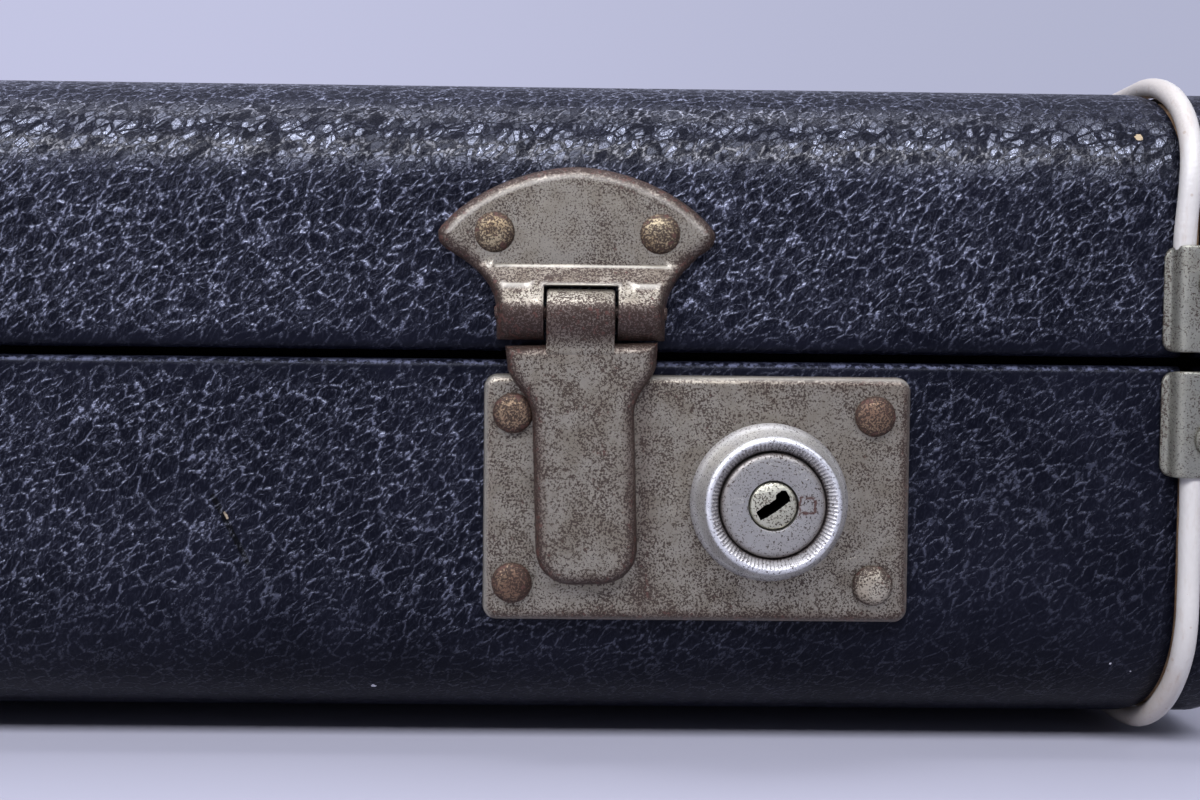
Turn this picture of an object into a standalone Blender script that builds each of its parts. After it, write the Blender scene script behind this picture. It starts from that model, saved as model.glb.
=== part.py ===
"""Rectangular hard guitar case, lying flat and closed.

The case lies along X with its locks on the -Y side and its hinges on the +Y side.
The origin is on the floor under the middle of the whole part. A body shell and a
shallower lid shell each have a wooden frame, a panel let into the frame, a leathercloth
cover, two end covers, two piping beads with riveted clips, and a plush lining.
"""

import math
from dataclasses import dataclass

import bmesh
import bpy
from mathutils import Matrix, Vector

# Clearances
FIT_GAP = 0.0003
CUT_OVERRUN = 0.0020
PIN_GAP = 0.0003

# Case
CASE_LENGTH = 1.0400
CASE_WIDTH = 0.3350
BODY_HEIGHT = 0.0593
LID_HEIGHT = 0.0444
SPLIT_GAP = 0.0013
BODY_EDGE_RADIUS = 0.0220
LID_EDGE_RADIUS = 0.0200
END_EDGE_RADIUS = 0.0050
COVER_THICKNESS = 0.0010
RIM_WRAP = 0.0090
RAIL_THICKNESS = 0.0090
PANEL_THICKNESS = 0.0050
PANEL_LAP = 0.0060
PANEL_LAP_DEPTH = 0.0025
RAIL_FOOT = 0.0160
LINING_THICKNESS = 0.0020
LINING_LIP = 0.0045
LID_LINING_SETBACK = 0.0060

# Piping and its clips
BEAD_RADIUS = 0.0021
BEAD_FROM_END = 0.0130
CLIP_HEIGHT = 0.0164
CLIP_RISE = 0.0033
CLIP_SHEET = 0.0008
CLIP_FROM_RIM = 0.0008
CLIP_LEFT = 0.0046
CLIP_RIGHT = 0.0089
CLIP_SLOPE = 0.0019
CLIP_CORNER = 0.0022
CLIP_RIVET_ALONG = 0.0024
CLIP_RIVET_FROM_RIM = 0.0113

# Rivets
RIVET_RADIUS = 0.0031
RIVET_DOME = 0.0014
RIVET_SHANK_RADIUS = 0.0014
RIVET_BITE = 0.0060

# Inside fittings
BLOCK_TOP = 0.0460
BAY_LENGTH = 0.5400
SIDE_BLOCK_LENGTH = 0.1797
NECK_REST_LENGTH = 0.0500
NECK_NOTCH_WIDTH = 0.0640
NECK_NOTCH_DEPTH = 0.0200
NECK_NOTCH_RADIUS = 0.0080
CHANNEL_SIDE = 0.0600
BOX_DEPTH = 0.0540
BOX_WALL = 0.0030
BOX_LID_THICKNESS = 0.0030

# Hinges
HINGE_COUNT = 3
HINGE_FROM_END = 0.1600
HINGE_WIDTH = 0.0400
HINGE_LEAF_HEIGHT = 0.0200
HINGE_SHEET = 0.0012
HINGE_CORNER = 0.0025
HINGE_TAB_INSET = 0.0004
HINGE_KNUCKLE_LIFT = 0.0003
HINGE_KNUCKLE_RADIUS = 0.0033
HINGE_PIN_RADIUS = 0.0016
HINGE_CENTRE_KNUCKLE = 0.0154
HINGE_RIVET_SPREAD = 0.0130
HINGE_RIVET_FROM_EDGE = 0.0055
PIN_HEAD_RADIUS = 0.0024
PIN_HEAD_THICKNESS = 0.0008

# Locks, measured from the middle of the lock plate; positive is right
LOCK_FROM_BEAD = 0.0767
PLATE_WIDTH = 0.0658
PLATE_HEIGHT = 0.0380
PLATE_TOP_FROM_RIM = 0.0022
PLATE_RISE = 0.0020
PLATE_SHEET = 0.0010
PLATE_CORNER = 0.0024
PLATE_EDGE_ROUND = 0.0009
PLATE_RIVET_IN = 0.0052
PLATE_RIVET_UP = 0.0060
SLOT_HALF_WIDTH = 0.0048
SLIDE_TRAVEL = 0.0045
KNOB_ACROSS = 0.0110
KNOB_DROP = 0.0003
KNOB_BASE_RADIUS = 0.0121
KNOB_RIM_RADIUS = 0.0103
KNOB_RISE = 0.0055
KNOB_FLANGE = 0.0009
KNOB_RIM_ROUND = 0.0006
KNOB_BORE_RADIUS = 0.0083
KNOB_SLOPE_DEPTH = 0.0014
KNOB_FLOOR = 0.0018
FACE_RADIUS = 0.0077
FACE_BELOW_RIM = 0.0008
FACE_EDGE_ROUND = 0.0012
PLUG_RADIUS = 0.0036
KEY_SLOT_LENGTH = 0.0059
KEY_SLOT_WIDTH = 0.0019
KEY_SLOT_DEPTH = 0.0024
KEY_SLOT_TURN = math.radians(35)
RETAINER_THICKNESS = 0.0005
RETAINER_RADIUS = 0.0058
LOCK_BOX_WIDTH = 0.0460
LOCK_BOX_HEIGHT = 0.0200
LOCK_BOX_DEPTH = 0.0068
LOCK_BOX_SHEET = 0.0008
BOLT_HEIGHT = 0.0120
BOLT_THICKNESS = 0.0020
BOLT_NOTCH = 0.0040
SPRING_THICKNESS = 0.0006
SPRING_FROM_WALL = 0.0015
SPRING_HEIGHT = 0.0080

# Hasps, measured from the middle of the lock plate
HASP_ACROSS = -0.0176
HASP_AXIS_ABOVE_LID_RIM = 0.0058
HASP_AXIS_OUT = 0.0037
HASP_KNUCKLE_RADIUS = 0.0030
HASP_PIN_RADIUS = 0.0013
HASP_CENTRE_KNUCKLE = 0.0109
HASP_SIDE_KNUCKLE = 0.0073
HASP_SHEET = 0.0012
FAN_HALF_WIDTH = 0.0217
FAN_TIP_UP = 0.0124
FAN_TOP_UP = 0.0225
FAN_NECK_HALF_WIDTH = 0.0132
FAN_STEP_UP = 0.0050
FAN_RIVET_ACROSS = 0.0126
FAN_RIVET_UP = 0.0122
ARM_LENGTH = 0.0425
ARM_TOP_HALF_WIDTH = 0.0117
ARM_HALF_WIDTH = 0.00775
ARM_SHOULDER_DOWN = 0.0088
ARM_WAIST_DOWN = 0.0173
ARM_CORNER = 0.0026
ARM_THICKNESS = 0.0016
ARM_CLEAR_OF_PLATE = 0.0014
ARM_LEAN = math.radians(1.6)
CATCH_DOWN = 0.0290
CATCH_WIDTH = 0.0080
CATCH_HEIGHT = 0.0034
CATCH_CLEARANCE = 0.0006

# Carrying handle
HANDLE_SPREAD = 0.1240
HANDLE_AXIS_BELOW_RIM = 0.0130
HANDLE_AXIS_OUT = 0.0098
HANDLE_DROP = 0.0310
HANDLE_BEND = 0.0160
GRIP_RADIUS = 0.0075
GRIP_END_RADIUS = 0.0045
HANDLE_PIN_RADIUS = 0.0018
HANDLE_EAR_THICKNESS = 0.0022
HANDLE_EAR_RADIUS = 0.0046
HANDLE_BASE_WIDTH = 0.0240
HANDLE_BASE_HEIGHT = 0.0180
HANDLE_BASE_THICKNESS = 0.0016

# Smoothness
EDGE_STEPS = 5
CORNER_STEPS = 3
ROUND_SIDES = 20
SMALL_SIDES = 12
BEAD_SIDES = 12
DOME_STEPS = 3
SMOOTH_ANGLE = math.radians(35)

# Derived places
BEAD_SEAT = COVER_THICKNESS + FIT_GAP
BEAD_OUT = FIT_GAP + BEAD_RADIUS - BEAD_SEAT
BEAD_PROUD = BEAD_OUT + BEAD_RADIUS
BEAD_FLAT = BEAD_RADIUS * (1 - math.cos(math.pi / BEAD_SIDES))
HALF_LENGTH = CASE_LENGTH / 2
HALF_WIDTH = CASE_WIDTH / 2
BEAD_X = HALF_LENGTH - BEAD_FROM_END
BODY_BOTTOM = BEAD_PROUD - BEAD_FLAT
BODY_RIM = BODY_BOTTOM + BODY_HEIGHT
LID_RIM = BODY_RIM + SPLIT_GAP
LID_TOP = LID_RIM + LID_HEIGHT
HINGE_AXIS_OUT = FIT_GAP + HINGE_KNUCKLE_LIFT + HINGE_KNUCKLE_RADIUS
HINGE_Z = (BODY_RIM + LID_RIM) / 2
FRONT_REACH = HANDLE_AXIS_OUT + GRIP_RADIUS
BACK_REACH = HINGE_AXIS_OUT + HINGE_KNUCKLE_RADIUS
CASE_Y = (FRONT_REACH - BACK_REACH) / 2
FRONT_Y = CASE_Y - HALF_WIDTH
BACK_Y = CASE_Y + HALF_WIDTH
LOCK_X = BEAD_X - LOCK_FROM_BEAD
HINGE_SPACING = 2 * (HALF_LENGTH - HINGE_FROM_END) / (HINGE_COUNT - 1)
BAY_END = BAY_LENGTH - HALF_LENGTH
NECK_REST_START = BAY_END + SIDE_BLOCK_LENGTH + FIT_GAP


@dataclass(frozen=True)
class Shell:
    """One half of the case: its rim plane, its outer plane and its long-edge radius."""

    name: str
    rim: float
    outside: float
    edge_radius: float

    @property
    def up(self):
        """Direction in Z from the outer plane towards the rim."""
        return 1 if self.rim > self.outside else -1

    def outline(self, side_inset, floor_inset, rim_inset, radius):
        """Cross-section in Y and Z, with the two long outer corners rounded."""
        half = HALF_WIDTH - side_inset
        floor = self.outside + self.up * floor_inset
        rim = self.rim - self.up * rim_inset
        points = [(CASE_Y - half, rim)]
        for side in (-1, 1):
            centre = (CASE_Y + side * (half - radius), floor + self.up * radius)
            for step in range(EDGE_STEPS + 1):
                turn = math.pi / 2 * step / EDGE_STEPS
                swing = turn if side < 0 else math.pi / 2 - turn
                points.append((centre[0] + side * radius * math.cos(swing),
                               centre[1] - self.up * radius * math.sin(swing)))
        points.append((CASE_Y + half, rim))
        return points

    def skin(self, inset):
        """Cross-section with every face drawn in by the same inset."""
        return self.outline(inset, inset, inset, self.edge_radius - inset)


BODY = Shell("body", BODY_RIM, BODY_BOTTOM, BODY_EDGE_RADIUS)
LID = Shell("lid", LID_RIM, LID_TOP, LID_EDGE_RADIUS)


def clear_scene():
    """Remove every object, so that the script gives the same result each time."""
    for item in list(bpy.data.objects):
        bpy.data.objects.remove(item, do_unlink=True)


def finish_material(name, colour, roughness, metallic):
    """Make one plain surface finish."""
    material = bpy.data.materials.new(name)
    material.use_nodes = True
    shader = material.node_tree.nodes["Principled BSDF"]
    shader.inputs["Base Color"].default_value = (*colour, 1)
    shader.inputs["Roughness"].default_value = roughness
    shader.inputs["Metallic"].default_value = metallic
    return material


def leathercloth():
    """Dark navy pebbled covering."""
    return finish_material("leathercloth", (0.028, 0.032, 0.050), 0.42, 0)


def piping_vinyl():
    """Off-white vinyl bead."""
    return finish_material("piping_vinyl", (0.66, 0.64, 0.60), 0.45, 0)


def nickel():
    """Aged nickel-plated steel."""
    return finish_material("nickel", (0.40, 0.38, 0.35), 0.38, 1)


def satin_metal():
    """Satin aluminium of the clips and the sliding knob."""
    return finish_material("satin_metal", (0.55, 0.55, 0.55), 0.34, 1)


def plywood():
    """Pale softwood and plywood."""
    return finish_material("plywood", (0.45, 0.30, 0.17), 0.60, 0)


def plush():
    """Dark red lining plush."""
    return finish_material("plush", (0.16, 0.018, 0.026), 0.95, 0)


def handle_cover():
    """Black moulded covering of the carrying grip."""
    return finish_material("handle_cover", (0.015, 0.015, 0.018), 0.45, 0)


def mesh_object(name, mesh_data, material=None):
    """Turn a finished bmesh into an object, with its faces pointing out."""
    bmesh.ops.recalc_face_normals(mesh_data, faces=mesh_data.faces)
    mesh = bpy.data.meshes.new(name)
    mesh_data.to_mesh(mesh)
    mesh_data.free()
    mesh.shade_smooth()
    mesh.set_sharp_from_angle(angle=SMOOTH_ANGLE)
    item = bpy.data.objects.new(name, mesh)
    bpy.context.scene.collection.objects.link(item)
    if material:
        mesh.materials.append(material)
    return item


def loft(name, rings, material=None):
    """Join rings of equal length, in order, and close both ends."""
    data = bmesh.new()
    loops = [[data.verts.new(point) for point in ring] for ring in rings]
    count = len(loops[0])
    for near, far in zip(loops, loops[1:]):
        for index in range(count):
            after = (index + 1) % count
            data.faces.new((near[index], near[after], far[after], far[index]))
    data.faces.new(loops[0])
    data.faces.new(loops[-1])
    return mesh_object(name, data, material)


def along_x(name, outline, start, end, material=None):
    """Extrude a Y, Z outline along X."""
    rings = [[(x, y, z) for y, z in outline] for x in (start, end)]
    return loft(name, rings, material)


def along_y(name, outline, start, end, material=None):
    """Extrude an X, Z outline along Y."""
    rings = [[(x, y, z) for x, z in outline] for y in (start, end)]
    return loft(name, rings, material)


def along_z(name, outline, start, end, material=None):
    """Extrude an X, Y outline along Z."""
    rings = [[(x, y, z) for x, y in outline] for z in (start, end)]
    return loft(name, rings, material)


def block(name, low, high, material=None):
    """Plain box between two corners."""
    outline = [(low[0], low[1]), (high[0], low[1]), (high[0], high[1]), (low[0], high[1])]
    return along_z(name, outline, low[2], high[2], material)


def rounded_rectangle(centre, width, height, radius):
    """Outline of a rectangle with round corners."""
    points = []
    corners = ((1, 1, 0), (-1, 1, 1), (-1, -1, 2), (1, -1, 3))
    for across, up, quarter in corners:
        corner = (centre[0] + across * (width / 2 - radius), centre[1] + up * (height / 2 - radius))
        for step in range(CORNER_STEPS + 1):
            turn = math.pi / 2 * (quarter + step / CORNER_STEPS)
            points.append((corner[0] + radius * math.cos(turn), corner[1] + radius * math.sin(turn)))
    return points


def turned(name, profile, centre, axis, sides, material=None):
    """Turn a profile of (radius, height) points about an axis through the centre.

    A radius of zero closes the shape at that end, so the profile runs from axis to axis,
    or is a closed section that stays away from the axis.
    """
    rotation = Vector((0, 0, 1)).rotation_difference(Vector(axis)).to_matrix().to_4x4()
    place = Matrix.Translation(centre) @ rotation
    data = bmesh.new()
    rings = []
    for radius, height in profile:
        if radius == 0:
            rings.append([data.verts.new(place @ Vector((0, 0, height)))])
            continue
        turns = [2 * math.pi * side / sides for side in range(sides)]
        points = [Vector((radius * math.cos(turn), radius * math.sin(turn), height)) for turn in turns]
        rings.append([data.verts.new(place @ point) for point in points])
    pairs = list(zip(rings, rings[1:]))
    if len(rings[0]) > 1:
        pairs.append((rings[-1], rings[0]))
    for near, far in pairs:
        for side in range(sides):
            after = (side + 1) % sides
            corners = [near[side % len(near)], near[after % len(near)],
                       far[after % len(far)], far[side % len(far)]]
            data.faces.new(list(dict.fromkeys(corners)))
    return mesh_object(name, data, material)


def rod(name, start, end, radius, sides, material=None):
    """Solid round bar between two points."""
    start, end = Vector(start), Vector(end)
    length = (end - start).length
    profile = [(0, 0), (radius, 0), (radius, length), (0, length)]
    return turned(name, profile, start, end - start, sides, material)


def apply_boolean(target, other, operation):
    """Cut, join or intersect two solids and drop the second."""
    modifier = target.modifiers.new(operation, "BOOLEAN")
    modifier.operation = operation
    modifier.solver = "EXACT"
    modifier.object = other
    evaluated = target.evaluated_get(bpy.context.evaluated_depsgraph_get())
    result = bpy.data.meshes.new_from_object(evaluated)
    result.name = target.name
    target.modifiers.clear()
    target.data = result
    bpy.data.objects.remove(other, do_unlink=True)


def cut(target, *cutters):
    """Take each cutter away from the target."""
    for cutter in cutters:
        apply_boolean(target, cutter, "DIFFERENCE")
    return target


def join(target, *others):
    """Fuse shapes that are one piece on the real object."""
    for other in others:
        apply_boolean(target, other, "UNION")
    return target


def resmooth(item):
    """Shade round faces smooth again after cuts and joins."""
    item.data.shade_smooth()
    item.data.set_sharp_from_angle(angle=SMOOTH_ANGLE)
    return item


def rivet_profile(head_radius, dome, shank_radius, shank):
    """Section of a domed rivet whose head seats at height zero."""
    profile = [(0, dome)]
    for step in range(1, DOME_STEPS + 1):
        turn = math.pi / 2 * step / DOME_STEPS
        profile.append((head_radius * math.sin(turn), dome * math.cos(turn)))
    profile += [(shank_radius, 0), (shank_radius, -shank), (0, -shank)]
    return profile


def rivet(name, seat, axis, shank, material=None):
    """Domed rivet whose head seats at a point and whose shank runs back from it."""
    profile = rivet_profile(RIVET_RADIUS, RIVET_DOME, RIVET_SHANK_RADIUS, shank)
    return turned(name, profile, seat, axis, SMALL_SIDES, material)


def rounded_end_rings(shell, inset, inner_x, outer_x, side):
    """Rings of an end whose edges round over towards the end face."""
    radius = END_EDGE_RADIUS - inset
    rings = [[(side * inner_x, y, z) for y, z in shell.skin(inset)]]
    for step in range(CORNER_STEPS + 1):
        turn = math.pi / 2 * step / CORNER_STEPS
        sink = radius * (1 - math.cos(turn))
        x = outer_x - radius + radius * math.sin(turn)
        outline = shell.outline(inset + sink, inset + sink, inset, shell.edge_radius - inset - sink)
        rings.append([(side * x, y, z) for y, z in outline])
    return rings


def rim_opening(shell, depth):
    """Cutter that opens the wrapped rim to the inside of the shell."""
    half_x = HALF_LENGTH - RIM_WRAP
    half_y = HALF_WIDTH - RIM_WRAP
    low, high = sorted((shell.rim - shell.up * depth, shell.rim + shell.up * CUT_OVERRUN))
    return block("rim_cutter", (-half_x, CASE_Y - half_y, low), (half_x, CASE_Y + half_y, high))


def make_cover(shell, material):
    """Leathercloth over the long sides, the flat face and the rim, between the beads."""
    edge = BEAD_X - BEAD_RADIUS - FIT_GAP
    cover = along_x(f"{shell.name}_cover", shell.skin(0), -edge, edge, material)
    inner_edge = edge + CUT_OVERRUN
    inside = along_x("inside", shell.skin(COVER_THICKNESS), -inner_edge, inner_edge)
    return cut(cover, inside, rim_opening(shell, COVER_THICKNESS + CUT_OVERRUN))


def make_end_cover(shell, side, material):
    """Leathercloth over one end, from the bead round to the end face."""
    inner_x = BEAD_X + BEAD_RADIUS + FIT_GAP
    outside = rounded_end_rings(shell, 0, inner_x, HALF_LENGTH, side)
    name = f"{shell.name}_end_cover_{side_name(side)}"
    cover = loft(name, outside, material)
    inside_rings = rounded_end_rings(shell, COVER_THICKNESS, inner_x - CUT_OVERRUN,
                                     HALF_LENGTH - COVER_THICKNESS, side)
    return cut(cover, loft("inside", inside_rings), rim_opening(shell, COVER_THICKNESS + CUT_OVERRUN))


def make_frame(shell, material):
    """Wooden rails with rounded outer edges, glued up as one ring with a lapped foot."""
    inset = COVER_THICKNESS + FIT_GAP
    outer_x = HALF_LENGTH - inset
    left = rounded_end_rings(shell, inset, BEAD_X, outer_x, -1)
    right = rounded_end_rings(shell, inset, BEAD_X, outer_x, 1)
    frame = loft(f"{shell.name}_frame", left[::-1] + right, material)
    side = inset + RAIL_THICKNESS
    floor = inset + PANEL_THICKNESS
    pocket = along_x("pocket", shell.outline(side, floor, -CUT_OVERRUN, shell.edge_radius - side),
                     side - HALF_LENGTH, HALF_LENGTH - side)
    return cut(frame, pocket, panel_opening(shell, 0))


def panel_block(shell, name, foot, near, far, margin, material=None):
    """Box inside the frame's foot, between two depths above the shell's outer plane."""
    half_x = HALF_LENGTH - END_EDGE_RADIUS - foot - margin
    half_y = HALF_WIDTH - shell.edge_radius - foot - margin
    low, high = sorted((shell.outside + shell.up * near, shell.outside + shell.up * far))
    return block(name, (-half_x, CASE_Y - half_y, low), (half_x, CASE_Y + half_y, high), material)


def panel_opening(shell, margin):
    """Cutter for the panel's place in the frame: a window and the lap round it."""
    inset = COVER_THICKNESS + FIT_GAP
    foot = RAIL_FOOT - PANEL_LAP
    window = panel_block(shell, "window", foot + PANEL_LAP, inset - CUT_OVERRUN,
                         inset + PANEL_THICKNESS + CUT_OVERRUN, margin)
    lap = panel_block(shell, "lap", foot, inset + PANEL_LAP_DEPTH,
                      inset + PANEL_THICKNESS + CUT_OVERRUN, margin)
    return join(window, lap)


def make_panel(shell, name, material):
    """Plywood panel whose edge laps over the frame's foot."""
    inset = COVER_THICKNESS + FIT_GAP
    foot = RAIL_FOOT - PANEL_LAP
    panel = panel_block(shell, name, foot + PANEL_LAP, inset, inset + PANEL_THICKNESS, FIT_GAP, material)
    lap = panel_block(shell, "lap", foot, inset + PANEL_LAP_DEPTH + FIT_GAP,
                      inset + PANEL_THICKNESS, FIT_GAP)
    return join(panel, lap)


def make_lining(shell, name, rim_inset, material):
    """Plush-covered tray inside a shell."""
    side = COVER_THICKNESS + FIT_GAP + RAIL_THICKNESS + FIT_GAP
    floor = COVER_THICKNESS + FIT_GAP + PANEL_THICKNESS + FIT_GAP
    radius = shell.edge_radius - side
    lining = along_x(name, shell.outline(side, floor, rim_inset, radius),
                     side - HALF_LENGTH, HALF_LENGTH - side, material)
    inner_side = side + LINING_THICKNESS
    hollow = shell.outline(inner_side, floor + LINING_THICKNESS, rim_inset - CUT_OVERRUN,
                           radius - LINING_THICKNESS)
    cut(lining, along_x("hollow", hollow, inner_side - HALF_LENGTH, HALF_LENGTH - inner_side))
    return lining


def side_name(side):
    """Name of the end of the case on one side of X."""
    return "right" if side > 0 else "left"


def bead_path(shell):
    """Middle line of the bead in Y and Z, from one clip round the shell to the other."""
    end_inset = CLIP_FROM_RIM + CLIP_HEIGHT + FIT_GAP
    return shell.outline(-BEAD_OUT, -BEAD_OUT, end_inset, shell.edge_radius + BEAD_OUT)


def make_bead(shell, side, material):
    """Piping bead: a round cord swept round the shell, with a flat facet facing out."""
    path = [Vector((0, y, z)) for y, z in bead_path(shell)]
    rings = []
    for index, point in enumerate(path):
        before = path[max(index - 1, 0)]
        after = path[min(index + 1, len(path) - 1)]
        forward = (after - before).normalized()
        outward = Vector((0, -forward.z, forward.y))
        bend = (point - before).angle(after - point, 0) / 2 if 0 < index < len(path) - 1 else 0
        stretch = 1 / math.cos(bend)
        ring = []
        for step in range(BEAD_SIDES):
            turn = 2 * math.pi * (step + 1 / 2) / BEAD_SIDES
            offset = outward * (BEAD_RADIUS * math.cos(turn) * stretch)
            ring.append(point + offset + Vector((side * BEAD_X + BEAD_RADIUS * math.sin(turn), 0, 0)))
        rings.append(ring)
    return loft(f"{shell.name}_piping_{side_name(side)}", rings, material)


def clip_section(side, middle_y, front):
    """Bent-sheet section of a clip in X and Y, hollow on the case side."""
    outer_left = -CLIP_LEFT
    outer_right = CLIP_RIGHT
    rise = CLIP_RISE
    outside = [(outer_left, FIT_GAP), (outer_left + CLIP_SLOPE, rise),
               (outer_right - CLIP_SHEET, rise), (outer_right, rise - CLIP_SHEET), (outer_right, FIT_GAP)]
    inside = [(outer_right - CLIP_SHEET, FIT_GAP), (outer_right - CLIP_SHEET, rise - CLIP_SHEET),
              (outer_left + CLIP_SLOPE + CLIP_SHEET / 2, rise - CLIP_SHEET),
              (outer_left + CLIP_SHEET, FIT_GAP)]
    return [(side * (BEAD_X + across), middle_y + front * away) for across, away in outside + inside]


def make_clip(shell, side, front, material):
    """Pressed clip over the cut end of a bead, with its rivet."""
    face_y = CASE_Y + front * HALF_WIDTH
    low, high = sorted((shell.rim - shell.up * CLIP_FROM_RIM,
                        shell.rim - shell.up * (CLIP_FROM_RIM + CLIP_HEIGHT)))
    face = "front" if front < 0 else "back"
    section = clip_section(side, face_y, front)
    clip = along_z(f"{shell.name}_clip_{face}_{side_name(side)}", section, low, high, material)
    trim = rounded_rectangle((side * (BEAD_X + (CLIP_RIGHT - CLIP_LEFT) / 2), (low + high) / 2),
                             CLIP_LEFT + CLIP_RIGHT, CLIP_HEIGHT, CLIP_CORNER)
    near, far = sorted((face_y, face_y + front * (CLIP_RISE + CUT_OVERRUN)))
    apply_boolean(clip, along_y("trim", trim, near, far), "INTERSECT")
    seat = (side * (BEAD_X + CLIP_RIVET_ALONG), face_y + front * (CLIP_RISE - FIT_GAP),
            shell.rim - shell.up * CLIP_RIVET_FROM_RIM)
    head = rivet("head", seat, (0, front, 0), CLIP_RISE - 2 * FIT_GAP)
    return resmooth(join(clip, head))


def make_shell(shell, panel_name, lining_inset):
    """Every piece of one half of the case."""
    cloth, wood, vinyl, metal = leathercloth(), plywood(), piping_vinyl(), satin_metal()
    frame = make_frame(shell, wood)
    panel = make_panel(shell, panel_name, wood)
    cover = make_cover(shell, cloth)
    lining = make_lining(shell, f"{shell.name}_lining", lining_inset, plush())
    pieces = [panel, lining]
    for side in (-1, 1):
        pieces.append(make_end_cover(shell, side, cloth))
        pieces.append(make_bead(shell, side, vinyl))
        for front in (-1, 1):
            pieces.append(make_clip(shell, side, front, metal))
    return frame, cover, pieces


def inside_floor():
    """Height of the body lining's upper face."""
    return BODY_BOTTOM + COVER_THICKNESS + PANEL_THICKNESS + LINING_THICKNESS + 2 * FIT_GAP


def inside_half_width():
    """Half of the clear width between the body lining's walls."""
    return HALF_WIDTH - COVER_THICKNESS - RAIL_THICKNESS - LINING_THICKNESS - 2 * FIT_GAP


def padded_block(name, low, high, material):
    """Plush-covered block whose long top edges are eased, standing on the lining."""
    width, height = high[1] - low[1], high[2] - low[2]
    ease = NECK_NOTCH_RADIUS / 2
    outline = rounded_rectangle(((low[1] + high[1]) / 2, (low[2] + high[2]) / 2), width, height, ease)
    return along_x(name, outline, low[0], high[0], material)


def make_inside():
    """Neck rest, side block, accessory box and its lid."""
    cloth = plush()
    floor = inside_floor() + FIT_GAP
    corner = BODY_EDGE_RADIUS - RAIL_THICKNESS - COVER_THICKNESS - LINING_THICKNESS
    wall = inside_half_width() - corner
    top = BLOCK_TOP
    box_front = CASE_Y - wall
    box_back = box_front + BOX_DEPTH
    rest_low = (NECK_REST_START, box_back + FIT_GAP, floor)
    rest_high = (NECK_REST_START + NECK_REST_LENGTH, CASE_Y + wall, top)
    rest = padded_block("neck_rest", rest_low, rest_high, cloth)
    notch_outline = rounded_rectangle((CASE_Y, top), NECK_NOTCH_WIDTH, 2 * NECK_NOTCH_DEPTH,
                                      NECK_NOTCH_RADIUS)
    notch = along_x("notch", notch_outline, NECK_REST_START - CUT_OVERRUN, rest_high[0] + CUT_OVERRUN)
    resmooth(cut(rest, notch))
    side_low = (BAY_END, CASE_Y + CHANNEL_SIDE, floor)
    side_high = (NECK_REST_START - FIT_GAP, CASE_Y + wall, top)
    padded_block("neck_side_block", side_low, side_high, cloth)
    box_high = top - BOX_LID_THICKNESS - FIT_GAP
    box = block("accessory_box", (BAY_END, box_front, floor), (rest_high[0], box_back, box_high), cloth)
    hollow = block("hollow", (BAY_END + BOX_WALL, box_front + BOX_WALL, floor + BOX_WALL),
                   (rest_high[0] - BOX_WALL, box_back - BOX_WALL, box_high + CUT_OVERRUN))
    cut(box, hollow)
    axis = (0, box_front, top - BOX_LID_THICKNESS)
    pivot = make_pivot("accessory_lid_axis", axis)
    lid = block("accessory_lid", (BAY_END, box_front, top - BOX_LID_THICKNESS),
                (rest_high[0], box_back, top), cloth)
    hang_on(lid, pivot)


def make_pivot(name, point):
    """Empty on a joint's axis, which carries what turns about it."""
    pivot = bpy.data.objects.new(name, None)
    pivot.location = point
    bpy.context.scene.collection.objects.link(pivot)
    return pivot


def hang_on(item, pivot):
    """Parent a piece to a pivot without moving it."""
    item.parent = pivot
    item.matrix_parent_inverse = Matrix.Translation(-pivot.location)
    return item


def hinge_leaf(name, x, up, knuckles, material):
    """One leaf on the back face with its knuckles and rivets."""
    near_y, far_y = BACK_Y + FIT_GAP, BACK_Y + FIT_GAP + HINGE_SHEET
    clear = HINGE_KNUCKLE_RADIUS + FIT_GAP
    edge = clear + HINGE_LEAF_HEIGHT
    half = HINGE_WIDTH / 2 - HINGE_TAB_INSET
    flat = [(-half, edge - HINGE_CORNER), (HINGE_CORNER - half, edge), (half - HINGE_CORNER, edge),
            (half, edge - HINGE_CORNER), (half, clear)]
    for start, end in reversed(knuckles):
        right, left = end - HINGE_TAB_INSET, start + HINGE_TAB_INSET
        tip = HINGE_KNUCKLE_RADIUS / 2
        flat += [(right, clear), (right, tip), (left, tip), (left, clear)]
    flat.append((-half, clear))
    outline = [(x + across, HINGE_Z + up * away) for across, away in dict.fromkeys(flat)]
    leaf = along_y(name, outline, near_y, far_y, material)
    axis_y = BACK_Y + HINGE_AXIS_OUT
    for start, end in knuckles:
        barrel = rod("barrel", (x + start, axis_y, HINGE_Z), (x + end, axis_y, HINGE_Z),
                     HINGE_KNUCKLE_RADIUS, SMALL_SIDES)
        join(leaf, barrel)
    reach = HINGE_WIDTH / 2 + CUT_OVERRUN
    bore = rod("bore", (x - reach, axis_y, HINGE_Z), (x + reach, axis_y, HINGE_Z),
               HINGE_PIN_RADIUS + PIN_GAP, SMALL_SIDES)
    cut(leaf, bore)
    for side in (-1, 1):
        seat = (x + side * HINGE_RIVET_SPREAD, far_y - FIT_GAP,
                HINGE_Z + up * (edge - HINGE_RIVET_FROM_EDGE))
        join(leaf, rivet("head", seat, (0, 1, 0), HINGE_SHEET / 2))
    return resmooth(leaf)


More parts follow.
